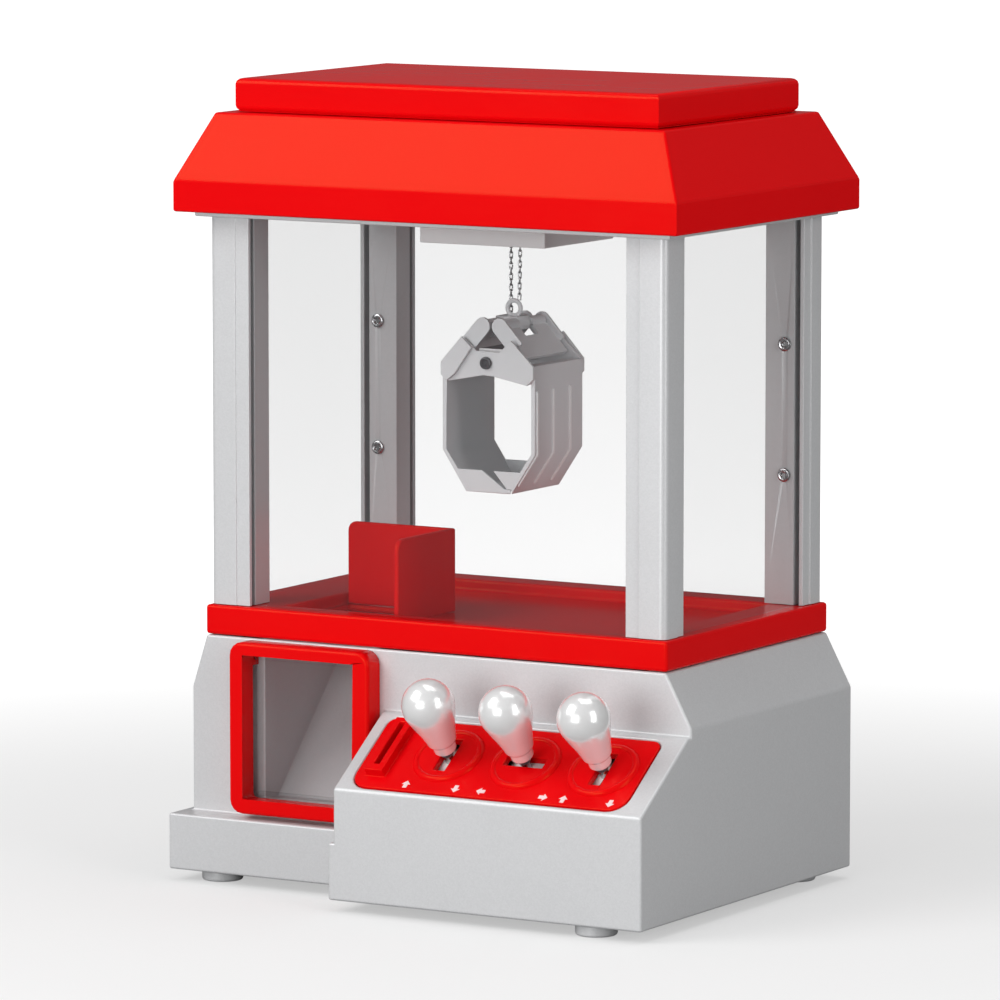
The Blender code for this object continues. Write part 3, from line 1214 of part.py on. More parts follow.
def centre_the_machine():
    """Moves everything back until the knobs and the rear of the roof are equally far from X."""
    drop = STICK_DOWN * math.cos(PANEL_ANGLE) + KNOB_CENTRE * math.sin(PANEL_ANGLE)
    front = PANEL_HEAD_Y - drop - KNOB_RADIUS
    middle = (front + SKIRT_Y) / 2
    whole = bpy.data.objects.new("whole_machine", None)
    MACHINE.objects.link(whole)
    for obj in list(MACHINE.objects) + list(HELPERS.objects):
        if obj.parent is None and obj is not whole:
            obj.parent = whole
    whole.location = metres((0, -middle, 0))


clear_scene()
MACHINE = collection("claw_crane")
HELPERS = collection("helpers")
PANEL_FRAME = bpy.data.objects.new("panel_frame", None)
MACHINE.objects.link(PANEL_FRAME)
PANEL_FRAME.location = metres((0, PANEL_HEAD_Y, PANEL_HEAD_Z))
PANEL_FRAME.rotation_euler = (PANEL_ANGLE, 0, 0)

RED = material("red_gloss", (0.80, 0.01, 0.015), 0.25)
SILVER = material("silver_plastic", (0.60, 0.61, 0.62), 0.35, 0.2)
DARK_SILVER = material("silver_underside", (0.45, 0.46, 0.47), 0.5, 0.1)
GREY = material("grey_plastic", (0.42, 0.42, 0.43), 0.35, 0.2)
GREY_LIGHT = material("light_grey_plastic", (0.58, 0.59, 0.60), 0.4)
GREY_DARK = material("dark_grey_plastic", (0.12, 0.12, 0.13), 0.4)
CLEAR = material("clear_sheet", (0.95, 0.97, 0.98), 0.05, 0.0, 0.2)
CHROME = material("chromed_knob", (0.80, 0.80, 0.81), 0.12, 1.0)
STEEL = material("bright_steel", (0.62, 0.62, 0.63), 0.25, 1.0)
WHITE = material("white_nylon", (0.85, 0.85, 0.84), 0.45)
BLACK = material("black_plastic", (0.03, 0.03, 0.03), 0.5)
GREEN = material("circuit_green", (0.02, 0.22, 0.08), 0.4)

build_base_shell()
build_base_plate()
build_battery_door()
build_feet()
build_electrics()
build_tray()
build_chute_guard()
build_prize_chute()
build_prize_door()
build_cabin()
build_top_frame()
build_roof()
build_lid()
build_rails()
build_bridge()
build_pinions()
build_trolley()
build_drum()
build_chains()
build_claw_head()
build_link("link_left", -1)
build_link("link_right", 1)
build_crosshead()
build_jaw("jaw_left", -1)
build_jaw("jaw_right", 1)
build_control_panel()
build_joysticks()
centre_the_machine()
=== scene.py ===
"""The looks of a table-top claw crane machine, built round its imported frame.

Each sub-assembly is a class. Its mouldings are the frame's own solids with their edges rounded, and
its other pieces are modelled here and ride on the frame's bodies. Sizes are in millimetres in the
cabin's frame: +X to the right, +Y away from the player, +Z up, with X and Y at the cabin's middle.
"""

import logging
import math
from dataclasses import dataclass
from enum import Enum
from typing import Callable, Iterable, Optional, Sequence

import bmesh
import bpy
from mathutils import Matrix, Vector


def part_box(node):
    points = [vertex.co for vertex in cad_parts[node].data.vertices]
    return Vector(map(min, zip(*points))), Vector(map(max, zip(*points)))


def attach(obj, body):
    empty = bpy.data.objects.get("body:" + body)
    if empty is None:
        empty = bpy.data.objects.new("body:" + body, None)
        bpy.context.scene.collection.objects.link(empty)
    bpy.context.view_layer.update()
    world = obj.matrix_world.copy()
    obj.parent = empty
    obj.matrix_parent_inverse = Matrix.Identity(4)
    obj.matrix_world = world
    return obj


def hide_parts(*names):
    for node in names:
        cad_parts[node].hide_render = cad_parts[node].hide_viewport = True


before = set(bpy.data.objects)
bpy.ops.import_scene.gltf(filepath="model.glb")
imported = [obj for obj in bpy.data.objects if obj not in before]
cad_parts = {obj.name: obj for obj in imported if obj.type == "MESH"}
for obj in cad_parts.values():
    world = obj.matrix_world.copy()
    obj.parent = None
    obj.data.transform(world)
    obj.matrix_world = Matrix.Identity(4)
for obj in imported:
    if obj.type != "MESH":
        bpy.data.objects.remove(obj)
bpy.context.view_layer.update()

MM = 0.001
WELD = 0.000002  # points closer than this, in metres, are made one
LOG = logging.getLogger("claw_crane")

Point = Sequence[float]
Colour = tuple[float, float, float]
Socket = bpy.types.NodeSocket


def cabin_middle() -> float:
    """Distance of the cabin's middle behind the origin, in metres, from the roof's own box."""
    low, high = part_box("roof")
    return (low.y + high.y) / 2


SHIFT = cabin_middle()


def place(x: float, y: float, z: float) -> Vector:
    """A point of the cabin's frame, in millimetres, as a point of the scene in metres."""
    return Vector((x * MM, y * MM + SHIFT, z * MM))


# Shader groups and finishes


class Surface(Enum):
    """The families of finish, each with its own way to build a material."""

    MOULDED = "moulded"
    FLAKE = "flake"
    STEEL = "steel"
    CLEAR = "clear"
    BOARD = "board"


class Nodes:
    """A node tree with short ways to add nodes and wires."""

    def __init__(self, tree: bpy.types.NodeTree) -> None:
        """Wraps a node tree.

        Args:
            tree: The tree that the nodes are added to.
        """
        self.tree = tree

    def add(self, kind: str, **values: object) -> bpy.types.Node:
        """Adds a node and sets its properties.

        Args:
            kind: The node's type name.
            values: Properties of the node.

        Returns:
            The new node.
        """
        node = self.tree.nodes.new(kind)
        for name, value in values.items():
            setattr(node, name, value)
        return node

    def wire(self, start: Socket, end: Socket) -> None:
        """Joins an output to an input."""
        self.tree.links.new(start, end)

    def math(self, operation: str, first: object, second: object) -> Socket:
        """Adds a Math node.

        Args:
            operation: The node's operation.
            first: A socket or a number.
            second: A socket or a number.

        Returns:
            The node's output.
        """
        node = self.add("ShaderNodeMath", operation=operation)
        for socket, value in zip(node.inputs, (first, second)):
            if isinstance(value, Socket):
                self.wire(value, socket)
            else:
                socket.default_value = value
        return node.outputs[0]

    def noise(self, vector: Socket, scale: object, detail: float) -> Socket:
        """Adds a Noise Texture and returns its value.

        Args:
            vector: The coordinates that it reads.
            scale: A socket or a number.
            detail: Octaves of the noise.

        Returns:
            The noise, about 0.5 on average.
        """
        node = self.add("ShaderNodeTexNoise")
        self.wire(vector, node.inputs["Vector"])
        node.inputs["Detail"].default_value = detail
        if isinstance(scale, Socket):
            self.wire(scale, node.inputs["Scale"])
        else:
            node.inputs["Scale"].default_value = scale
        return node.outputs[0]

    def tint(self, colour: Socket, factor: Socket) -> Socket:
        """Multiplies a colour by a grey factor.

        Args:
            colour: The colour.
            factor: The factor, near 1.

        Returns:
            The new colour.
        """
        scale = self.add("ShaderNodeVectorMath", operation="SCALE")
        self.wire(colour, scale.inputs[0])
        self.wire(factor, scale.inputs["Scale"])
        return scale.outputs[0]


def new_group(
    name: str, inputs: Iterable[tuple[str, str]], outputs: Iterable[tuple[str, str]]
) -> Nodes:
    """Makes a shader node group with named sockets.

    Args:
        name: The group's name.
        inputs: Names and socket types of the inputs.
        outputs: Names and socket types of the outputs.

    Returns:
        The group's tree, with its input and output nodes in it.
    """
    tree = bpy.data.node_groups.new(name, "ShaderNodeTree")
    for label, kind in inputs:
        tree.interface.new_socket(label, in_out="INPUT", socket_type="NodeSocket" + kind)
    for label, kind in outputs:
        tree.interface.new_socket(label, in_out="OUTPUT", socket_type="NodeSocket" + kind)
    nodes = Nodes(tree)
    nodes.add("NodeGroupInput", name="in")
    nodes.add("NodeGroupOutput", name="out")
    return nodes


def object_coordinates(nodes: Nodes, stretch: Point = (1, 1, 1)) -> Socket:
    """Coordinates of the piece's own object, stretched by a Mapping node.

    Args:
        nodes: The tree to add to.
        stretch: Scale along X, Y and Z.

    Returns:
        The coordinates.
    """
    source = nodes.add("ShaderNodeTexCoord")
    mapping = nodes.add("ShaderNodeMapping")
    mapping.inputs["Scale"].default_value = stretch
    nodes.wire(source.outputs["Object"], mapping.inputs["Vector"])
    return mapping.outputs[0]


BROAD_SCALE = 22.0  # mottling, per metre
RUB_SCALE = 90.0  # rubbed patches, per metre
RUB_STRETCH = (1.0, 1.4, 9.0)
RUB_STRENGTH = 0.10
FLAKE_SCALE = 1600.0  # flakes of the silver coat, per metre
FLAKE_STRENGTH = 0.06
NOISE_MEAN = 0.5


def build_skin_group() -> bpy.types.NodeTree:
    """Builds the skin of a moulding: mottling, fine grain, and rubbing that dulls the gloss.

    Returns:
        The group's tree.
    """
    inputs = (
        ("Colour", "Color"),
        ("Roughness", "Float"),
        ("Grain", "Float"),
        ("Mottle", "Float"),
    )
    outputs = (("Colour", "Color"), ("Roughness", "Float"), ("Height", "Float"))
    nodes = new_group("moulding_skin", inputs, outputs)
    given, made = nodes.tree.nodes["in"], nodes.tree.nodes["out"]
    plain = object_coordinates(nodes)
    broad = nodes.math("SUBTRACT", nodes.noise(plain, BROAD_SCALE, 3.0), NOISE_MEAN)
    amount = nodes.math("MULTIPLY", broad, given.outputs["Mottle"])
    factor = nodes.math("ADD", amount, 1.0)
    nodes.wire(nodes.tint(given.outputs["Colour"], factor), made.inputs["Colour"])
    rubbed = nodes.noise(object_coordinates(nodes, RUB_STRETCH), RUB_SCALE, 5.0)
    rubbed = nodes.math("MULTIPLY", nodes.math("SUBTRACT", rubbed, NOISE_MEAN), RUB_STRENGTH)
    wide = nodes.math("MULTIPLY", broad, RUB_STRENGTH)
    rough = nodes.math("ADD", nodes.math("ADD", rubbed, wide), given.outputs["Roughness"])
    nodes.wire(rough, made.inputs["Roughness"])
    nodes.wire(nodes.noise(plain, given.outputs["Grain"], 2.0), made.inputs["Height"])
    return nodes.tree


def build_flake_group() -> bpy.types.NodeTree:
    """Builds the fine metal flakes of a silver coat, which lighten and darken specks of it.

    Returns:
        The group's tree.
    """
    inputs = (("Colour", "Color"), ("Strength", "Float"))
    nodes = new_group("silver_flakes", inputs, (("Colour", "Color"),))
    given, made = nodes.tree.nodes["in"], nodes.tree.nodes["out"]
    cells = nodes.add("ShaderNodeTexVoronoi", feature="F1")
    cells.inputs["Scale"].default_value = FLAKE_SCALE
    nodes.wire(object_coordinates(nodes), cells.inputs["Vector"])
    split = nodes.add("ShaderNodeSeparateColor")
    nodes.wire(cells.outputs["Color"], split.inputs[0])
    shine = nodes.math("SUBTRACT", split.outputs[0], NOISE_MEAN)
    factor = nodes.math("ADD", nodes.math("MULTIPLY", shine, given.outputs["Strength"]), 1.0)
    nodes.wire(nodes.tint(given.outputs["Colour"], factor), made.inputs["Colour"])
    return nodes.tree


SKIN = build_skin_group()
FLAKES = build_flake_group()


@dataclass(frozen=True)
class Finish:
    """One finish of the machine, and how its material is built.

    Attributes:
        name: The material's name.
        slot: The record's material slot that it stands for. It is not used.
        colour: Linear base colour.
        roughness: Mean roughness.
        surface: Which family of nodes it uses.
        metallic: Constant metallic value.
        coat: Constant weight of the clear coat.
        specular: Constant strength of the plain gloss.
        sheen: Constant tint of the plain gloss.
        grain: Scale of the fine grain, per metre.
        relief: Height of the grain, in metres.
        mottle: Strength of the broad mottling.
        glow: Strength of light scattered inside, for waxy plastics.
        coat_roughness: Constant roughness of the clear coat.
        scatter: How far light goes inside, in metres.
        edge_on: Blend of the gloss that a clear sheet gains at a low angle.
        clearest: Opacity of a clear sheet seen straight on.
        haze: Opacity that it gains at a low angle.
    """

    name: str
    slot: str
    colour: Colour
    roughness: float
    surface: Surface = Surface.MOULDED
    metallic: float = 0.0
    coat: float = 0.0
    specular: float = 0.5
    sheen: Colour = (1.0, 1.0, 1.0)
    grain: float = 900.0
    relief: float = 0.00002
    mottle: float = 0.05
    glow: float = 0.0
    coat_roughness: float = 0.08
    scatter: float = 0.004
    edge_on: float = 0.30
    clearest: float = 0.06
    haze: float = 0.16

    def material(self) -> bpy.types.Material:
        """Builds the material once, and finds it from then on.

        Returns:
            The material.
        """
        found = bpy.data.materials.get(self.name)
        if found is not None:
            return found
        made = bpy.data.materials.new(self.name)
        made.use_nodes = True
        nodes = Nodes(made.node_tree)
        shader = made.node_tree.nodes["Principled BSDF"]
        shader.inputs["Metallic"].default_value = self.metallic
        shader.inputs["Coat Weight"].default_value = self.coat
        shader.inputs["Coat Roughness"].default_value = self.coat_roughness
        shader.inputs["Specular IOR Level"].default_value = self.specular
        shader.inputs["Specular Tint"].default_value = (*self.sheen, 1.0)
        shader.inputs["IOR"].default_value = 1.5
        if self.glow > 0:
            shader.inputs["Subsurface Weight"].default_value = self.glow
            shader.inputs["Subsurface Scale"].default_value = self.scatter
        colour = self.lay_skin(nodes, shader)
        if self.surface is Surface.FLAKE:
            colour = self.lay_flakes(nodes, colour)
        if self.surface is Surface.BOARD:
            colour = self.lay_tracks(nodes, colour)
        nodes.wire(colour, shader.inputs["Base Color"])
        if self.surface is Surface.STEEL:
            self.lay_drawing_lines(nodes, shader)
        if self.surface is Surface.CLEAR:
            self.lay_clearness(nodes, shader)
        return made

    def lay_skin(self, nodes: Nodes, shader: bpy.types.Node) -> Socket:
        """Places the skin group and wires its roughness and grain.

        Args:
            nodes: The material's tree.
            shader: Its shader.

        Returns:
            The skin's colour.
        """
        skin = nodes.add("ShaderNodeGroup", node_tree=SKIN)
        skin.inputs["Colour"].default_value = (*self.colour, 1.0)
        skin.inputs["Roughness"].default_value = self.roughness
        skin.inputs["Grain"].default_value = self.grain
        skin.inputs["Mottle"].default_value = self.mottle
        nodes.wire(skin.outputs["Roughness"], shader.inputs["Roughness"])
        bump = nodes.add("ShaderNodeBump")
        bump.inputs["Distance"].default_value = self.relief
        nodes.wire(skin.outputs["Height"], bump.inputs["Height"])
        nodes.wire(bump.outputs[0], shader.inputs["Normal"])
        return skin.outputs["Colour"]

    def lay_flakes(self, nodes: Nodes, colour: Socket) -> Socket:
        """Adds the silver coat's flakes.

        Args:
            nodes: The material's tree.
            colour: The coat's colour.

        Returns:
            The colour with flakes.
        """
        flakes = nodes.add("ShaderNodeGroup", node_tree=FLAKES)
        flakes.inputs["Strength"].default_value = FLAKE_STRENGTH
        nodes.wire(colour, flakes.inputs["Colour"])
        return flakes.outputs["Colour"]

    def lay_tracks(self, nodes: Nodes, colour: Socket) -> Socket:
        """Adds the darker bands of a circuit board's tracks.

        Args:
            nodes: The material's tree.
            colour: The board's colour.

        Returns:
            The colour with tracks.
        """
        bricks = nodes.add("ShaderNodeTexBrick")
        bricks.inputs["Scale"].default_value = 60.0
        bricks.inputs["Mortar Size"].default_value = 0.06
        nodes.wire(object_coordinates(nodes), bricks.inputs["Vector"])
        factor = nodes.math("ADD", nodes.math("MULTIPLY", bricks.outputs["Fac"], 0.9), 0.8)
        return nodes.tint(colour, factor)

    def lay_drawing_lines(self, nodes: Nodes, shader: bpy.types.Node) -> None:
        """Gives steel the fine lines that drawing leaves along it.

        Args:
            nodes: The material's tree.
            shader: Its shader.
        """
        fine, strength = 2600.0, 0.22
        lines = nodes.noise(object_coordinates(nodes, (1.0, 1.0, 0.02)), fine, 3.0)
        spread = nodes.math("MULTIPLY", nodes.math("SUBTRACT", lines, NOISE_MEAN), strength)
        rough = nodes.math("ADD", spread, self.roughness)
        nodes.wire(rough, shader.inputs["Roughness"])

    def lay_clearness(self, nodes: Nodes, shader: bpy.types.Node) -> None:
        """Lets a clear sheet show what is behind it, and more of its gloss at a low angle.

        Args:
            nodes: The material's tree.
            shader: Its shader.
        """
        facing = nodes.add("ShaderNodeLayerWeight")
        facing.inputs["Blend"].default_value = self.edge_on
        gloss = nodes.math("MULTIPLY", facing.outputs["Facing"], self.haze)
        nodes.wire(nodes.math("ADD", gloss, self.clearest), shader.inputs["Alpha"])


RED = Finish(
    "red_gloss_moulding",
    "red_gloss",
    (0.73, 0.0015, 0.004),
    0.22,
    specular=0.11,
    sheen=(1.0, 0.8, 0.25),
    mottle=0.03,
)
SILVER = Finish(
    "silver_painted_moulding",
    "silver_plastic",
    (0.60, 0.605, 0.615),
    0.36,
    Surface.FLAKE,
    metallic=0.12,
    mottle=0.03,
)
UNDERSIDE = Finish("silver_underside", "silver_underside", (0.33, 0.335, 0.34), 0.52, grain=1400.0)
CLAW_GREY = Finish("grey_claw_moulding", "grey_plastic", (0.72, 0.73, 0.745), 0.32, coat=0.1)
PALE_GREY = Finish("pale_grey_moulding", "light_grey_plastic", (0.86, 0.865, 0.87), 0.42)
DARK_GREY = Finish("dark_grey_pin", "dark_grey_plastic", (0.07, 0.07, 0.075), 0.34)
CLEAR = Finish(
    "clear_sheet_moulding",
    "clear_sheet",
    (0.10, 0.105, 0.11),
    0.05,
    Surface.CLEAR,
    specular=0.3,
    mottle=0.02,
)
PEARL = Finish(
    "pearl_chrome_knob", "chromed_knob", (0.88, 0.88, 0.88), 0.22, metallic=0.3, coat=0.9
)
STEEL = Finish(
    "bright_drawn_steel", "bright_steel", (0.56, 0.56, 0.57), 0.26, Surface.STEEL, metallic=1.0
)
NYLON = Finish("white_nylon_moulding", "white_nylon", (0.84, 0.84, 0.83), 0.45, glow=0.1)
BLACK = Finish("black_moulding", "black_plastic", (0.025, 0.025, 0.026), 0.45, grain=1500.0)
BOARD = Finish("green_board", "circuit_green", (0.015, 0.16, 0.06), 0.35, Surface.BOARD)
MARK = Finish("pale_printed_mark", "white_nylon", (0.86, 0.66, 0.66), 0.40)


# Modelling


# Turns of the XY plane: a slab's outline comes to lie in the plane that is named.
PLANES = {
    "XZ": Matrix(((1, 0, 0, 0), (0, 0, 1, 0), (0, 1, 0, 0), (0, 0, 0, 1))),
    "YZ": Matrix(((0, 0, 1, 0), (1, 0, 0, 0), (0, 1, 0, 0), (0, 0, 0, 1))),
}


class Shape:
    """A mesh in the making, in metres, with the operators that the pieces share."""

    def __init__(self, bm: Optional[bmesh.types.BMesh] = None) -> None:
        """Starts from a bmesh, or from nothing.

        Args:
            bm: The bmesh that the shape takes over.
        """
        self.bm = bm if bm is not None else bmesh.new()

    @classmethod
    def of_node(cls, node: str) -> "Shape":
        """Copies one of the frame's solids, with its flat faces whole again.

        Args:
            node: The frame's node.

        Returns:
            The new shape.
        """
        bm = bmesh.new()
        bm.from_mesh(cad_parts[node].data)
        bmesh.ops.remove_doubles(bm, verts=bm.verts, dist=WELD)
        flat = math.radians(0.6)
        bmesh.ops.dissolve_limit(bm, angle_limit=flat, verts=bm.verts, edges=bm.edges)
        bmesh.ops.connect_verts_concave(bm, faces=bm.faces)
        return cls(bm)

    @classmethod
    def block(cls, low: Point, high: Point) -> "Shape":
        """A box between two corners.

        Args:
            low: The low corner, in millimetres of the cabin's frame.
            high: The high corner.

        Returns:
            The new shape.
        """
        bm = bmesh.new()
        bmesh.ops.create_cube(bm, size=1.0)
        start, end = place(*low), place(*high)
        bmesh.ops.scale(bm, vec=end - start, verts=bm.verts)
        bmesh.ops.translate(bm, vec=(start + end) / 2, verts=bm.verts)
        return cls(bm)

    @classmethod
    def slab(cls, outline: Sequence[Point], thickness: float) -> "Shape":
        """A flat outline, extruded up from the XY plane at the origin.

        Args:
            outline: Points of (x, y), in millimetres.
            thickness: Height of the slab, in millimetres.

        Returns:
            The new shape.
        """
        bm = bmesh.new()
        corners = [bm.verts.new((x * MM, y * MM, 0)) for x, y in outline]
        face = bm.faces.new(corners)
        grown = bmesh.ops.extrude_face_region(bm, geom=[face])
        lifted = [item for item in grown["geom"] if isinstance(item, bmesh.types.BMVert)]
        bmesh.ops.translate(bm, vec=(0, 0, thickness * MM), verts=lifted)
        bmesh.ops.recalc_face_normals(bm, faces=bm.faces)
        return cls(bm)

    @classmethod
    def turned(cls, profile: Sequence[Point], steps: int = 32) -> "Shape":
        """A profile spun round Z at the origin.

        Args:
            profile: Points of (radius, height), in millimetres.
            steps: Steps of the full turn.

        Returns:
            The new shape.
        """
        bm = bmesh.new()
        points = [bm.verts.new((r * MM, 0, z * MM)) for r, z in profile]
        for first, second in zip(points, points[1:]):
            bm.edges.new((first, second))
        geometry = bm.verts[:] + bm.edges[:]
        bmesh.ops.spin(
            bm,
            geom=geometry,
            cent=(0, 0, 0),
            axis=(0, 0, 1),
            angle=math.tau,
            steps=steps,
            use_merge=True,
        )
        bmesh.ops.remove_doubles(bm, verts=bm.verts, dist=WELD)
        bmesh.ops.dissolve_degenerate(bm, edges=bm.edges, dist=WELD / 2)
        bmesh.ops.recalc_face_normals(bm, faces=bm.faces)
        return cls(bm)

    @classmethod
    def ring(cls, major: float, minor: float, steps: int = 24, sides: int = 8) -> "Shape":
        """A torus round Z at the origin.

        Args:
            major: Radius to the middle of the tube, in millimetres.
            minor: Radius of the tube, in millimetres.
            steps: Steps of the full turn.
            sides: Sides of the tube.

        Returns:
            The new shape.
        """
        turns = [math.tau * k / sides for k in range(sides + 1)]
        profile = [(major + minor * math.cos(t), minor * math.sin(t)) for t in turns]
        return cls.turned(profile, steps)

    def rounded(
        self,
        radius: float,
        angle: float = 32.0,
        shortest: float = 0.0,
        segments: int = 3,
        where: Optional[Callable[[Vector], bool]] = None,
    ) -> "Shape":
        """Rounds the edges that turn by more than an angle.

        Args:
            radius: Offset of the bevel, in millimetres.
            angle: Least angle between an edge's faces, in degrees.
            shortest: Edges under this length in millimetres stay sharp.
            segments: Steps of each round.
            where: A test of an edge's middle, for rounding only some of them.

        Returns:
            This shape.
        """
        least = math.radians(angle)
        chosen = []
        for edge in self.bm.edges:
            if len(edge.link_faces) != 2 or edge.calc_length() < shortest * MM:
                continue
            middle = (edge.verts[0].co + edge.verts[1].co) / 2
            if edge.calc_face_angle(0.0) > least and (where is None or where(middle)):
                chosen.append(edge)
        bmesh.ops.bevel(
            self.bm,
            geom=chosen,
            offset=radius * MM,
            offset_type="OFFSET",
            affect="EDGES",
            segments=segments,
            profile=0.5,
            material=-1,
            clamp_overlap=False,
        )
        bmesh.ops.remove_doubles(self.bm, verts=self.bm.verts, dist=WELD)
        return self

    def moved(self, matrix: Matrix) -> "Shape":
        """Transforms the whole shape.

        Args:
            matrix: The transform, in metres.

        Returns:
            This shape.
        """
        bmesh.ops.transform(self.bm, matrix=matrix, verts=self.bm.verts)
        if matrix.determinant() < 0:
            bmesh.ops.reverse_faces(self.bm, faces=self.bm.faces)
        return self

    def with_shape(self, other: "Shape") -> "Shape":
        """Adds another shape's mesh to this one.

        Args:
            other: The other shape, which is used up.

        Returns:
            This shape.
        """
        mesh = bpy.data.meshes.new("joining")
        other.bm.to_mesh(mesh)
        other.bm.free()
        self.bm.from_mesh(mesh)
        bpy.data.meshes.remove(mesh)
        return self

    def piece(
        self,
        name: str,
        body: str,
        finish: Finish,
        replaces: Sequence[str] = (),
        sharp: float = 40.0,
    ) -> bpy.types.Object:
        """Makes a finished piece that rides on a body.

        Args:
            name: The piece's name.
            body: The frame's body that it moves with.
            finish: Its finish.
            replaces: The frame's nodes that it stands for.
            sharp: Edges that turn by more than this many degrees look sharp.

        Returns:
            The new object, at the origin, with its place in its mesh.
        """
        mesh = bpy.data.meshes.new(name)
        self.bm.to_mesh(mesh)
        self.bm.free()
        mesh.shade_smooth()
        mesh.set_sharp_from_angle(angle=math.radians(sharp))
        mesh.materials.append(finish.material())
        made = bpy.data.objects.new(name, mesh)
        bpy.context.scene.collection.objects.link(made)
        even = made.modifiers.new("even_shading", "WEIGHTED_NORMAL")
        even.keep_sharp = True
        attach(made, body)
        if replaces:
            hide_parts(*replaces)
        LOG.info("piece %s rides on %s", name, body)
        return made


def dress(node: str, finish: Finish) -> None:
    """Gives one of the frame's own nodes a finish, and leaves its mesh alone.

    Args:
        node: The frame's node.
        finish: Its finish.
    """
    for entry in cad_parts[node].material_slots:
        entry.link = "OBJECT"
        entry.material = finish.material()


@dataclass(frozen=True)
class Moulding:
    """One of the frame's solids, shown with its edges rounded.

    Attributes:
        node: The frame's node.
        body: The body that it rides on.
        finish: Its finish.
        radius: Radius of its edges, in millimetres.
        angle: Least angle of an edge that is rounded, in degrees.
        shortest: Edges shorter than this stay sharp, in millimetres.
        where: A test of an edge's middle, for rounding only some of them.
    """

    node: str
    body: str
    finish: Finish
    radius: float
    angle: float = 32.0
    shortest: float = 0.0
    where: Optional[Callable[[Vector], bool]] = None

    def build(self) -> bpy.types.Object:
        """Makes the rounded piece in place of its node.

        Returns:
            The new object.
        """
        shape = Shape.of_node(self.node)
        shape.rounded(self.radius, self.angle, self.shortest, where=self.where)
        return shape.piece(self.node + "_moulding", self.body, self.finish, [self.node])


@dataclass
class Assembly:
    """A sub-assembly: rounded mouldings, nodes that keep their shape, and further pieces.

    Attributes:
        mouldings: Solids of the frame that are shown with rounded edges.
        dressed: Solids of the frame that keep their shape, each with its finish.
    """

    mouldings: tuple[Moulding, ...] = ()
    dressed: tuple[tuple[str, Finish], ...] = ()

    def build(self) -> None:
        """Builds everything in the sub-assembly."""
        for moulding in self.mouldings:
            moulding.build()
        for node, finish in self.dressed:
            dress(node, finish)
        self.details()

    def details(self) -> None:
        """Makes the pieces that the mouldings leave out. Most sub-assemblies add their own."""


# The machine's sub-assemblies


FEET = ("foot_front_left", "foot_front_right", "foot_rear_left", "foot_rear_right")


@dataclass
class Base(Assembly):
    """The silver lower body with its bottom cover, feet, battery door and switch.

    Sizes are in millimetres.
    """

    foot_radius: float = 9.0
    foot_height: float = 4.7
    foot_neck: float = 2.9
    foot_round: float = 1.2
    screw_head: float = 2.6
    screw_inset: float = 9.0
    switch_half: tuple[float, float] = (9.0, 5.0)
    switch_edge: float = 0.6
    switch_depth: float = 0.9
    switch_shift: float = 2.5

    def details(self) -> None:
        """Makes the feet, the bottom cover's screws and the frame round the switch."""
        for node in FEET:
            self.foot(node)
        self.cover_screws()
        self.switch_plate()

    def foot(self, node: str) -> None:
        """A short round foot with a soft lower edge and a moulded ring under it.

        Args:
            node: The frame's foot that it replaces.
        """
        low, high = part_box(node)
        r, top, neck, soft = self.foot_radius, self.foot_height, self.foot_neck, self.foot_round
        crown = (high.z - low.z) / MM
        profile = [(0, crown), (neck, crown), (neck, top)]
        profile += [(r - 0.3, top), (r, top - 0.3), (r, soft)]
        arc = [math.radians(90 * k / 4) for k in range(1, 5)]
        profile += [(r - soft + soft * math.cos(t), soft - soft * math.sin(t)) for t in arc]
        profile += [(r - 3.2, 0.0), (r - 3.6, 0.5), (0, 0.5)]
        centre = (low + high) / 2
        shape = Shape.turned(profile, 40).moved(Matrix.Translation((centre.x, centre.y, low.z)))
        shape.piece(node + "_turned", "cabinet", SILVER, [node])

    def cover_screws(self) -> None:
        """Screws that hold the bottom cover, each a low dome with a round recess."""
        low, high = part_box("base_plate")
        inset = self.screw_inset * MM
        rear = high.y - inset
        r = self.screw_head
        profile = [(0, 0.2), (r, 0.2), (r, 0.0), (r * 0.7, -0.7)]
        profile += [(r * 0.35, -0.9), (r * 0.3, -0.5), (0, -0.5)]
        spots = [
            (low.x + inset, low.y + 52 * MM),
            (low.x + inset + 95 * MM, rear),
            (high.x - inset, low.y + 32 * MM),
            (high.x - inset, rear - 38 * MM),
            (low.x + 118 * MM, low.y + inset),
        ]
        for number, (x, y) in enumerate(spots, 1):
            shape = Shape.turned(profile, 20).moved(Matrix.Translation((x, y, low.z)))
            shape.piece(f"cover_screw_{number}", "cabinet", STEEL)

    def switch_plate(self) -> None:
        """A thin frame round the power switch's slot on the back."""
        low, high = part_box("power_switch")
        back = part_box("base_shell")[1].y
        middle_x = (low.x + high.x) / 2 + self.switch_shift * MM
        middle_z = (low.z + high.z) / 2
        (half_x, half_z), edge = self.switch_half, self.switch_edge
        bars = (
            (0, half_z, half_x + edge, edge),
            (0, -half_z, half_x + edge, edge),
            (half_x, 0, edge, half_z - edge),
            (-half_x, 0, edge, half_z - edge),
        )
        frame_shape = Shape()
        for x, z, w, h in bars:
            bar = Shape.slab([(-w, -h), (w, -h), (w, h), (-w, h)], self.switch_depth)
            spot = Vector((middle_x + x * MM, back, middle_z + z * MM))
            frame_shape.with_shape(bar.moved(Matrix.Translation(spot) @ PLANES["XZ"]))
        bmesh.ops.recalc_face_normals(frame_shape.bm, faces=frame_shape.bm.faces)
        frame_shape.piece("switch_frame", "cabinet", BLACK)


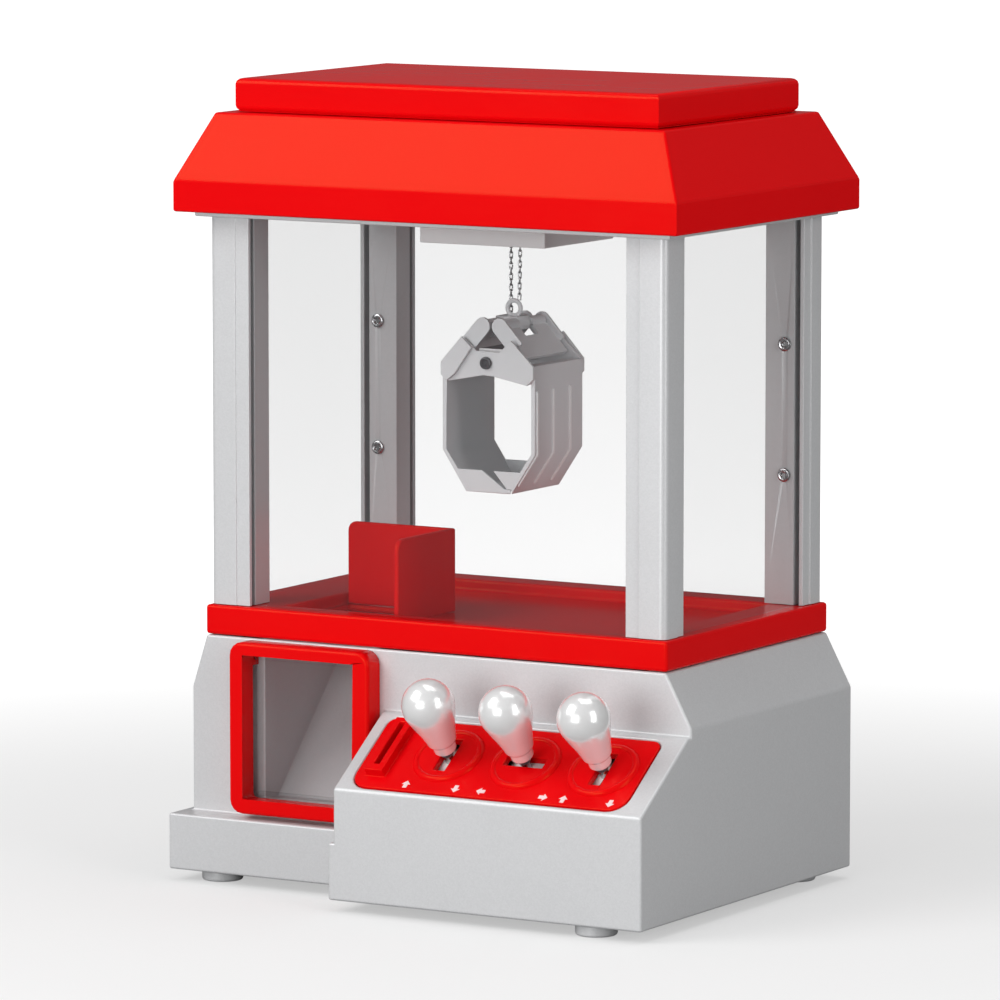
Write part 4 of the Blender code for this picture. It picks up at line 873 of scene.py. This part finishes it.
@dataclass
class Console(Assembly):
    """The sloping control panel with its three joysticks, arrows and coin slot.

    Sizes are in millimetres. Heights of the sticks are measured out of the panel.
    """

    head_y: float = -75.0
    head_z: float = 81.1
    slope: float = math.atan2(27.8, 40.0)
    sticks: tuple[tuple[str, float], ...] = (("left", 21.8), ("middle", 59.6), ("right", 97.4))
    stick_down: float = 23.5
    pivot_depth: float = 22.0
    knob_centre: float = 29.7
    knob_radius: float = 11.45
    knob_foot: float = 4.5
    shaft_radius: float = 2.1
    pin_half: float = 6.8
    collar_centre: float = 2.4
    collar_size: tuple[float, float] = (2.75, 1.75)
    plate_sheet: float = 0.8
    plate_half: float = 5.6
    plate_spread: float = 34.0
    disc_radius: float = 15.0
    arrow_size: float = 2.1
    arrow_down: float = 42.2

    def on_panel(self, x: float, down: float, height: float) -> Matrix:
        """The transform of a spot on the panel: X to the right, Y up the slope, Z out of it.

        Args:
            x: Distance to the right of the cabin's middle, in millimetres.
            down: Distance down the slope from the panel's head, in millimetres.
            height: Distance out of the panel, in millimetres.

        Returns:
            The transform, in metres.
        """
        frame_of_panel = Matrix.Translation(place(0, self.head_y, self.head_z))
        frame_of_panel = frame_of_panel @ Matrix.Rotation(self.slope, 4, "X")
        return frame_of_panel @ Matrix.Translation(Vector((x, -down, height)) * MM)

    def details(self) -> None:
        """Makes the knobs, levers, slot plates, disc rings and arrows."""
        for name, x in self.sticks:
            self.knob(name, x)
            self.lever(name, x)
            self.slot_plate(name, x)
            self.disc_ring(name, x)
        self.arrows()

    def knob(self, name: str, x: float) -> None:
        """A bulb-shaped knob: a ball that tapers to a neck.

        Args:
            name: Which stick it is on.
            x: The stick's place.
        """
        r, centre = self.knob_radius, self.knob_centre
        turns = [math.radians(90 - 9 * k) for k in range(13)]
        ball = [(r * math.cos(t), centre + r * math.sin(t)) for t in turns]
        foot = self.knob_foot
        neck = [(9.6, 21.6), (8.2, 17.4), (7.0, 12.9), (6.6, 10.6)]
        neck += [(6.1, 9.6), (5.4, 9.0), (5.1, 8.3)]
        base = [(5.0, foot + 0.8), (4.6, foot + 0.1), (2.4, foot + 0.1)]
        base += [(2.4, foot + 2), (0, foot + 2)]
        profile = [(0, centre + r), *ball[1:], *neck, *base]
        shape = Shape.turned(profile, 56).moved(self.on_panel(x, self.stick_down, 0))
        shape.piece(f"knob_{name}_bulb", f"stick_{name}", PEARL, [f"knob_{name}"], 50)

    def lever(self, name: str, x: float) -> None:
        """A steel lever with a dark ball collar where it leaves the panel.

        Args:
            name: Which stick it is.
            x: The stick's place.
        """
        body = f"stick_{name}"
        slot, pivot = (self.on_panel(x, self.stick_down, z) for z in (0, -self.pivot_depth))
        r, top, bottom = self.shaft_radius, self.knob_foot + 2.2, -self.pivot_depth - 1.6
        shape = Shape.turned([(0, top), (r, top), (r, bottom), (0, bottom)], 24).moved(slot)
        reach = self.pin_half
        rod = [(0, reach), (1.0, reach), (1.0, -reach), (0, -reach)]
        turn = Matrix.Rotation(math.radians(90), 4, "X" if name == "middle" else "Y")
        shape.with_shape(Shape.turned(rod, 16).moved(pivot @ turn))
        shape.piece(f"lever_{name}_shaft", body, STEEL, [f"lever_{name}"])
        middle, (wide, tall) = self.collar_centre, self.collar_size
        turns = [math.radians(90 - 15 * k) for k in range(13)]
        ball = [(wide * math.cos(t), middle + tall * math.sin(t)) for t in turns]
        collar = Shape.turned([(0, 4.15), *ball[1:-1], (0, 0.65)], 28).moved(slot)
        collar.piece(f"lever_{name}_collar", body, DARK_GREY)

    def slot_plate(self, name: str, x: float) -> None:
        """The white plate that closes the slot from below and swings with the lever.

        Args:
            name: Which stick it is.
            x: The stick's place.
        """
        outer, spread, half = self.pivot_depth - 2.15, self.plate_spread, self.plate_half
        inner = outer - self.plate_sheet
        arc = [math.radians(90 - spread + 2 * spread * k / 10) for k in range(11)]
        shell = [(outer * math.cos(t), outer * math.sin(t)) for t in arc]
        shell += [(inner * math.cos(t), inner * math.sin(t)) for t in reversed(arc)]
        shape = Shape.slab(shell, 2 * half).moved(Matrix.Translation((0, 0, -half * MM)))
        turn = PLANES["XZ"] if name == "middle" else PLANES["YZ"]
        shape.moved(self.on_panel(x, self.stick_down, -self.pivot_depth) @ turn)
        bmesh.ops.recalc_face_normals(shape.bm, faces=shape.bm.faces)
        shape.piece(f"slot_plate_{name}", f"stick_{name}", NYLON)

    def disc_ring(self, name: str, x: float) -> None:
        """The raised rim round a stick's disc.

        Args:
            name: Which stick it is round.
            x: The stick's place.
        """
        r = self.disc_radius
        profile = [(r + 0.9, 0.1), (r + 0.6, 1.1), (r - 0.2, 1.9), (r - 1.2, 1.95)]
        profile += [(r - 2.0, 1.5), (r - 2.2, 1.0), (r - 2.2, 0.1), (r + 0.9, 0.1)]
        shape = Shape.turned(profile, 56).moved(self.on_panel(x, self.stick_down, 0))
        shape.piece(f"disc_rim_{name}", "cabinet", RED, (), 60)

    def arrows(self) -> None:
        """Plain printed arrows beside the sticks, one for each way a stick moves."""
        size = self.arrow_size
        head = [(0, size), (size, 0), (0.45 * size, 0), (0.45 * size, -size)]
        outline = head + [(-x, y) for x, y in reversed(head[1:])]
        marks = (
            ("left_away", 9.9, 0),
            ("left_back", 34.2, 180),
            ("middle_left", 46.6, 90),
            ("middle_right", 77.0, -90),
            ("right_away", 86.7, 0),
            ("right_back", 109.2, 180),
        )
        for name, x, turn in marks:
            shape = Shape.slab(outline[::-1], 0.14)
            spot = self.on_panel(x, self.arrow_down, 0.19)
            shape.moved(spot @ Matrix.Rotation(math.radians(turn), 4, "Z"))
            shape.piece(f"arrow_{name}", "cabinet", MARK)


@dataclass
class Cabin(Assembly):
    """The red tray, the posts with their screws, and the clear panes.

    Sizes are in millimetres.
    """

    screw_radius: float = 3.05

    def details(self) -> None:
        """Makes the posts' screws, each with a flange and a round recess."""
        for side in ("left", "right"):
            for level in ("upper", "lower"):
                self.screw(f"screw_rear_{side}_{level}")

    def screw(self, node: str) -> None:
        """A flanged screw head on a post's inner face.

        Args:
            node: The frame's screw that it replaces.
        """
        low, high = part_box(node)
        centre = Vector(((low.x + high.x) / 2, low.y, (low.z + high.z) / 2))
        r = self.screw_radius
        profile = [(0, 1.0), (0.9, 1.0), (1.35, 0.1), (1.95, 0.0), (2.2, 0.35), (2.3, 0.9)]
        profile += [(r - 0.2, 1.0), (r, 1.2), (r, 1.45), (1.2, 1.45), (1.2, 6.0), (0, 6.0)]
        shape = Shape.turned(profile, 32)
        shape.moved(Matrix.Translation(centre) @ Matrix.Rotation(math.radians(-90), 4, "X"))
        shape.piece(node + "_head", "cabinet", STEEL, [node])


@dataclass
class PrizeDoor(Assembly):
    """The red door frame, the clear flap and the silver chute behind it."""

    def details(self) -> None:
        """Makes the flap's lower lip, for a finger, and the chute's flange beside the flap."""
        low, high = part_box("prize_flap")
        x0, x1 = low.x / MM + 4, high.x / MM - 4
        y, z = (low.y - SHIFT) / MM, low.z / MM
        lip = Shape.block((x0, y - 1.6, z + 0.4), (x1, y + 0.9, z + 2.6)).rounded(0.6)
        lip.piece("flap_lip", "prize_flap", CLEAR)
        chute_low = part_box("prize_chute")[0]
        x1, y0 = chute_low.x / MM - 0.2, (chute_low.y - SHIFT) / MM + 0.5
        z0, z1 = chute_low.z / MM + 1, high.z / MM + 2
        flange = Shape.block((x1 - 5.5, y0, z0), (x1, y0 + 1.2, z1)).rounded(0.3, segments=2)
        flange.piece("chute_flange", "cabinet", SILVER)


@dataclass
class Gantry(Assembly):
    """The trolley, its bridge, rods, motors and pinions under the roof.

    Sizes are in millimetres.
    """

    wound_radius: float = 6.45
    wound_wire: float = 0.42
    first_lap: float = 1.6
    lap_pitch: float = 0.9
    laps: int = 3

    def details(self) -> None:
        """Makes the chain that is already wound on the drum, three laps beside each run."""
        low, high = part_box("hoist_drum")
        centre = (low + high) / 2
        runs = [corner.x for node in ("chain_hold", "chain_close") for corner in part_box(node)]
        middle = sum(runs) / len(runs)
        turn = Matrix.Rotation(math.radians(90), 4, "Y")
        for name, side in (("hold", 1), ("close", -1)):
            wound = Shape()
            for lap in range(self.laps):
                x = middle + side * (self.first_lap + self.lap_pitch * lap) * MM
                lap_ring = Shape.ring(self.wound_radius, self.wound_wire, 36, 6)
                lap_ring.moved(Matrix.Translation((x, centre.y, centre.z)) @ turn)
                wound.with_shape(lap_ring)
            wound.piece(f"wound_chain_{name}", "drum", STEEL)


@dataclass
class Claw(Assembly):
    """The clamshell claw: head, two links, two jaws, their pivots, and the chains.

    Sizes are in millimetres, and those of a jaw are measured from the claw's pin.
    """

    pin_radius: float = 2.0
    jaw_half: float = 23.2
    jaw_drop: float = 39.0
    jaw_bottom: float = 56.6
    jaw_flat: float = 11.4
    ribs: tuple[float, ...] = (-18.6, -5.0, 9.5)
    rib_top: float = 11.0
    rib_width: float = 1.6
    rib_height: float = 0.7
    rib_sunk: float = 0.4
    rib_run: float = 17.0
    # Pale strips painted along the crosshead's top edges as a highlight: half width, reach from the
    # pin, and thickness.
    highlight_half: float = 6.9
    highlight_reach: float = 17.1
    highlight_thickness: float = 0.7
    link_pitch: float = 2.35
    link_bend: float = 0.62
    wire: float = 0.32
    bar_radius: float = 0.7
    chain_twist: float = 20.0
    leaning_links: int = 30

    def pin(self) -> Vector:
        """Finds the claw's pin.

        Returns:
            Its middle, in millimetres of the cabin's frame.
        """
        low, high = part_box("crosshead")
        centre = (low + high) / 2
        return Vector((centre.x / MM, (centre.y - SHIFT) / MM, low.z / MM + self.pin_radius))

    def details(self) -> None:
        """Makes the jaws' ribs, the pin's caps, the strips of painted highlight on the crosshead's
        top edges and the chains.
        """
        for side, name in ((1, "jaw_right"), (-1, "jaw_left")):
            self.jaw_ribs(side, name)
        self.pin_caps()
        self.crosshead_painted_highlight()
        self.chain("chain_hold", "claw", 326.0)
        self.chain("chain_close", "crosshead", 340.0)

    def jaw_ribs(self, side: int, name: str) -> None:
        """Shallow ribs down a jaw's outer wall and slope, with rounded ends, in a paler grey than
        the jaw: a painted highlight along the ribs.

        Args:
            side: 1 for the right jaw and -1 for the left one.
            name: The jaw's body.
        """
        pin = self.pin()
        h, drop, stand, sunk = self.jaw_half, self.jaw_drop, self.rib_height, self.rib_sunk
        slope = Vector((self.jaw_flat - h, drop - self.jaw_bottom)).normalized()
        outward = Vector((-slope.y, slope.x))
        foot = Vector((h, -drop)) + slope * self.rib_run
        proud = [(h + stand, -self.rib_top - 0.6), (h + stand, -drop - 0.2), foot + outward * stand]
        inside = [foot - outward * sunk, (h - sunk, -drop), (h - sunk, -self.rib_top)]
        outline = [tuple(point) for point in proud + inside]
        shape = Shape()
        for spot in self.ribs:
            start = Matrix.Translation((0, 0, (spot - self.rib_width / 2) * MM))
            rib = Shape.slab(outline, self.rib_width).moved(start).moved(PLANES["XZ"])
            bmesh.ops.recalc_face_normals(rib.bm, faces=rib.bm.faces)
            rib.rounded(0.3, 50, 0.9, 2)
            shape.with_shape(rib)
        if side < 0:
            shape.moved(Matrix.Rotation(math.pi, 4, "Z"))
        shape.moved(Matrix.Translation(place(pin.x, pin.y, pin.z)))
        # The ribs' paler grey is a painted highlight along them.
        shape.piece(name + "_ribs", name, PALE_GREY)

    def pin_caps(self) -> None:
        """Riveted caps on the pin's two ends."""
        low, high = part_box("crosshead")
        pin = self.pin()
        profile = [(0, 0.15), (1.1, 0.15), (1.3, 0.45), (2.0, 0.75), (2.6, 0.55)]
        profile += [(2.75, 0.1), (2.75, -0.35), (0, -0.35)]
        for name, y, turn in (("front", low.y, 90), ("rear", high.y, -90)):
            cap = Shape.turned(profile, 32).moved(Matrix.Rotation(math.radians(turn), 4, "X"))
            cap.moved(Matrix.Translation((pin.x * MM, y, pin.z * MM)))
            cap.piece(f"pin_cap_{name}", "crosshead", DARK_GREY)

    def crosshead_painted_highlight(self) -> None:
        """Pale strips along the top edges of the crosshead's plate, between the links: a painted
        highlight where light falls on the dark plate's top.
        """
        pin, top = self.pin(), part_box("crosshead")[1].z / MM
        half, reach = self.highlight_half, self.highlight_reach
        for name, sign in (("front", -1), ("rear", 1)):
            inner = reach - self.highlight_thickness
            y0, y1 = sorted((pin.y + sign * inner, pin.y + sign * reach))
            bar = Shape.block((pin.x - half, y0, top - 2.1), (pin.x + half, y1, top + 0.1))
            # Each strip is painted highlight: pale grey on the dark grey crosshead.
            bar.rounded(0.2, segments=2).piece(f"crosshead_highlight_strip_{name}", "crosshead", PALE_GREY)

    def chain_link(self) -> Shape:
        """One oval link of fine wire, standing in the XZ plane at the origin.

        Returns:
            The new shape.
        """
        upright = Matrix.Rotation(math.radians(90), 4, "X")
        link = Shape.ring(self.link_bend, self.wire, 12, 5).moved(upright)
        reach = (self.link_pitch / 2 + self.wire) - self.link_bend
        for vert in link.bm.verts:
            vert.co.z += math.copysign(reach, vert.co.z) * MM
        return link

    def chain(self, node: str, body: str, top: float) -> None:
        """A straight run of links, each turned a quarter from the last.

        Args:
            node: The frame's bar that the chain replaces.
            body: The body that the chain's lower end is fixed to.
            top: Height of the chain's upper end, in millimetres.
        """
        low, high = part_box(node)
        foot = Vector(((low.x + high.x) / 2, (low.y + high.y) / 2, low.z))
        count = int((top - low.z / MM) / self.link_pitch)
        bar_radius = self.bar_radius * MM
        back = high.y - bar_radius
        lean = high.y - low.y - 2 * bar_radius
        run = Shape()
        for number in range(count):
            turn = Matrix.Rotation(math.radians(90 * (number % 2) + self.chain_twist), 4, "Z")
            z = foot.z + (number + 0.5) * self.link_pitch * MM
            sway = lean * max(0.0, 1 - number / self.leaning_links)
            spot = Matrix.Translation((foot.x, back - sway, z))
            run.with_shape(self.chain_link().moved(spot @ turn))
        run.piece(node + "_links", body, STEEL, [node], 80)


@dataclass
class Roof(Assembly):
    """The red roof with its hinged lid."""


# The studio


@dataclass
class Studio:
    """The floor, the lights and the camera.

    Attributes:
        azimuth: Direction of the camera to the right of the front, in degrees.
        elevation: Its height over the floor, in degrees.
        distance: Its distance from the target, in millimetres.
        focal_length: Its focal length, in millimetres.
        target: The point that it faces, in millimetres of the cabin's frame.
        floor_size: Side of the floor, in metres.
        floor_tone: Grey of the floor under the lamps.
        ambient: Strength of the surround as a source of light.
        mirror_dimming: Part of the surround and of the floor that gloss doesn't show.
        floor_glow: Distances in metres between which the floor's glow rises, and its two levels.
    """

    azimuth: float = 30.51
    elevation: float = 7.007
    distance: float = 3147.75
    focal_length: float = 260.03
    target: tuple[float, float, float] = (-8.6, 0.0, 165.66)
    floor_size: float = 60.0
    floor_tone: float = 0.42
    ambient: float = 0.31
    mirror_dimming: float = 0.6
    floor_glow: tuple[float, float, float, float] = (0.25, 1.1, 0.46, 1.0)

    def build(self) -> None:
        """Builds the studio."""
        self.camera()
        self.world()
        self.floor()
        self.lamps()

    def camera(self) -> None:
        """Places the camera and makes it the scene's own."""
        azimuth, elevation = math.radians(self.azimuth), math.radians(self.elevation)
        flat = math.cos(elevation)
        back = Vector((math.sin(azimuth) * flat, -math.cos(azimuth) * flat, math.sin(elevation)))
        lens = bpy.data.cameras.new("camera")
        lens.lens = self.focal_length
        lens.sensor_width = 36.0
        lens.clip_end = 50.0
        holder = bpy.data.objects.new("camera", lens)
        holder.location = place(*self.target) + back * self.distance * MM
        holder.rotation_euler = back.to_track_quat("Z", "Y").to_euler()
        bpy.context.scene.collection.objects.link(holder)
        bpy.context.scene.camera = holder
        bpy.context.scene.view_settings.view_transform = "Standard"

    def world(self) -> None:
        """A surround that is white to the camera and dimmer as a source of light."""
        world = bpy.data.worlds.new("surround")
        bpy.context.scene.world = world
        world.use_nodes = True
        nodes = Nodes(world.node_tree)
        shade = world.node_tree.nodes["Background"]
        shade.inputs["Color"].default_value = (1.0, 1.0, 1.0, 1.0)
        path = nodes.add("ShaderNodeLightPath")
        rays = path.outputs
        seen = nodes.math("MAXIMUM", rays["Is Camera Ray"], rays["Is Transmission Ray"])
        dimmed = self.mirror_dimming * self.ambient
        mirrored = nodes.math("MULTIPLY", rays["Is Glossy Ray"], dimmed)
        base = nodes.math("SUBTRACT", self.ambient, mirrored)
        strength = nodes.math("ADD", nodes.math("MULTIPLY", seen, 1.0 - self.ambient), base)
        nodes.wire(strength, shade.inputs["Strength"])

    def floor(self) -> None:
        """A floor that is white to the camera, all the way to the horizon, and keeps the shadow."""
        bm = bmesh.new()
        bmesh.ops.create_grid(bm, x_segments=1, y_segments=1, size=self.floor_size / 2)
        mesh = bpy.data.meshes.new("floor")
        bm.to_mesh(mesh)
        bm.free()
        made = bpy.data.objects.new("floor", mesh)
        bpy.context.scene.collection.objects.link(made)
        paint = bpy.data.materials.new("floor_white")
        paint.use_nodes = True
        nodes = Nodes(paint.node_tree)
        shader = paint.node_tree.nodes["Principled BSDF"]
        shader.inputs["Roughness"].default_value = 0.9
        shader.inputs["Specular IOR Level"].default_value = 0.0
        path = nodes.add("ShaderNodeLightPath")
        dimmed = self.floor_tone * self.mirror_dimming
        dimming = nodes.math("MULTIPLY", path.outputs["Is Glossy Ray"], dimmed)
        grey = nodes.math("SUBTRACT", self.floor_tone, dimming)
        nodes.wire(grey, shader.inputs["Base Color"])
        shader.inputs["Emission Color"].default_value = (1.0, 1.0, 1.0, 1.0)
        away = nodes.add("ShaderNodeVectorMath", operation="LENGTH")
        nodes.wire(object_coordinates(nodes), away.inputs[0])
        spread = nodes.add("ShaderNodeMapRange", interpolation_type="SMOOTHSTEP")
        limits = ("From Min", "From Max", "To Min", "To Max")
        for label, value in zip(limits, self.floor_glow):
            spread.inputs[label].default_value = value
        nodes.wire(away.outputs["Value"], spread.inputs["Value"])
        glow = nodes.math("MULTIPLY", path.outputs["Is Camera Ray"], spread.outputs["Result"])
        nodes.wire(glow, shader.inputs["Emission Strength"])
        mesh.materials.append(paint)

    def lamps(self) -> None:
        """Soft boxes: a key at the front left, one overhead, a low fill and one at the right."""
        self.lamp("key", (-1150, -1500, 1450), (1300, 1300), 26)
        self.lamp("overhead", (150, 150, 1900), (1100, 1100), 10)
        self.lamp("fill", (-100, -1700, 300), (800, 600), 11)
        self.lamp("strip", (1500, -500, 450), (500, 1200), 9)

    def lamp(
        self, name: str, spot: tuple[float, float, float], size: tuple[float, float], power: float
    ) -> None:
        """A rectangular soft box that faces the machine.

        Args:
            name: The lamp's name.
            spot: Its place, in millimetres.
            size: Its width and height, in millimetres.
            power: Its power, in watts.
        """
        light = bpy.data.lights.new(name, "AREA")
        light.shape = "RECTANGLE"
        light.size, light.size_y = size[0] * MM, size[1] * MM
        light.energy = power
        holder = bpy.data.objects.new(name, light)
        holder.location = place(*spot)
        away = holder.location - place(0, 0, 170)
        holder.rotation_euler = away.to_track_quat("Z", "Y").to_euler()
        bpy.context.scene.collection.objects.link(holder)


HINGE_START = 50.0  # behind the cabin's middle, in millimetres
LID_REAR = 62.4  # just short of the lid's rear face
LID_SHOULDER = 339.0  # height over which only the lid's top edges lie


def outside_hinge(middle: Vector) -> bool:
    """Whether an edge of the lid is clear of the rear hinge, which lies along its lower edge.

    Args:
        middle: The edge's middle, in metres.

    Returns:
        Whether the edge is rounded.
    """
    behind = middle.y - SHIFT
    over = middle.z > LID_SHOULDER * MM
    return behind < HINGE_START * MM or (over and behind < LID_REAR * MM)


BEZEL_FRONT = -76.0  # behind the cabin's middle, in millimetres


def on_bezel_front(middle: Vector) -> bool:
    """Whether an edge of the door frame stands in front of the base."""
    return middle.y - SHIFT < BEZEL_FRONT * MM


def machine() -> list[Assembly]:
    """Lists the machine's sub-assemblies.

    Returns:
        The sub-assemblies, in the order that they are built.
    """
    base = Base(
        mouldings=(
            Moulding("base_shell", "cabinet", SILVER, 1.1, 14.0),
            Moulding("base_plate", "cabinet", UNDERSIDE, 0.4),
            Moulding("battery_door", "cabinet", UNDERSIDE, 0.5),
            Moulding("power_switch", "power_switch", BLACK, 0.35),
            Moulding("speaker", "cabinet", BLACK, 0.3, 50.0),
        ),
        dressed=(("circuit_board", BOARD),),
    )
    door = PrizeDoor(
        mouldings=(
            Moulding("prize_bezel", "cabinet", RED, 1.6, 40.0, 2.0, on_bezel_front),
            Moulding("prize_chute", "cabinet", SILVER, 0.3, 40.0),
            Moulding("prize_flap", "prize_flap", CLEAR, 0.25, 60.0, 3.0),
        ),
    )
    corners = [f"{end}_{side}" for end in ("front", "rear") for side in ("left", "right")]
    posts = [Moulding(f"post_{corner}", "cabinet", SILVER, 0.3, 40.0, 20.0) for corner in corners]
    sides = ("front", "rear", "left", "right")
    panes = [Moulding(f"pane_{side}", "cabinet", CLEAR, 0.3) for side in sides]
    cabin = Cabin(
        mouldings=(
            Moulding("tray", "cabinet", RED, 1.5),
            Moulding("chute_guard", "cabinet", RED, 0.9, 40.0),
            *posts,
            *panes,
        ),
    )
    roof = Roof(
        mouldings=(
            Moulding("top_frame", "cabinet", SILVER, 0.5, 40.0, 30.0),
            Moulding("roof", "cabinet", RED, 1.0, 15.0, 20.0),
            Moulding("roof_lid", "roof_lid", RED, 2.6, 40.0, 20.0, outside_hinge),
        ),
        dressed=(("lid_hinge_rod", STEEL),),
    )
    gantry = Gantry(
        mouldings=(
            Moulding("trolley", "trolley", PALE_GREY, 0.6, 40.0, 6.0),
            Moulding("bridge_gearmotor", "bridge", NYLON, 1.2, 60.0, 8.0),
            Moulding("trolley_gearmotor", "trolley", NYLON, 1.2, 60.0, 8.0),
            Moulding("hoist_gearmotor", "trolley", NYLON, 1.2, 60.0, 8.0),
        ),
        dressed=(
            ("rail_left", STEEL),
            ("rail_right", STEEL),
            ("cross_rod_front", STEEL),
            ("cross_rod_rear", STEEL),
            ("bridge", PALE_GREY),
            ("bridge_pinion", NYLON),
            ("trolley_pinion", NYLON),
            ("hoist_drum", NYLON),
        ),
    )
    claw = Claw(
        mouldings=(
            Moulding("claw_head", "claw", CLAW_GREY, 0.35, 60.0, 4.0),
            Moulding("link_left", "link_left", CLAW_GREY, 0.25, 60.0, 3.0),
            Moulding("link_right", "link_right", CLAW_GREY, 0.25, 60.0, 3.0),
            Moulding("jaw_left", "jaw_left", CLAW_GREY, 0.3, 40.0, 3.0),
            Moulding("jaw_right", "jaw_right", CLAW_GREY, 0.3, 40.0, 3.0),
        ),
        dressed=(("crosshead", DARK_GREY),),
    )
    console = Console(
        mouldings=(
            Moulding("control_panel", "cabinet", RED, 0.5, 45.0, 1.0),
            Moulding("coin_lever", "coin_lever", NYLON, 0.3, 45.0, 2.0),
        ),
        dressed=(("joystick_socket", NYLON),),
    )
    return [base, door, cabin, roof, gantry, claw, console]


def main() -> None:
    """Builds the studio and the machine, and logs each sub-assembly as it is built."""
    logging.basicConfig(level=logging.INFO, format="%(name)s: %(message)s")
    Studio().build()
    for assembly in machine():
        LOG.info("building %s", type(assembly).__name__)
        assembly.build()
    bpy.context.view_layer.update()


if __name__ == "__main__":
    main()
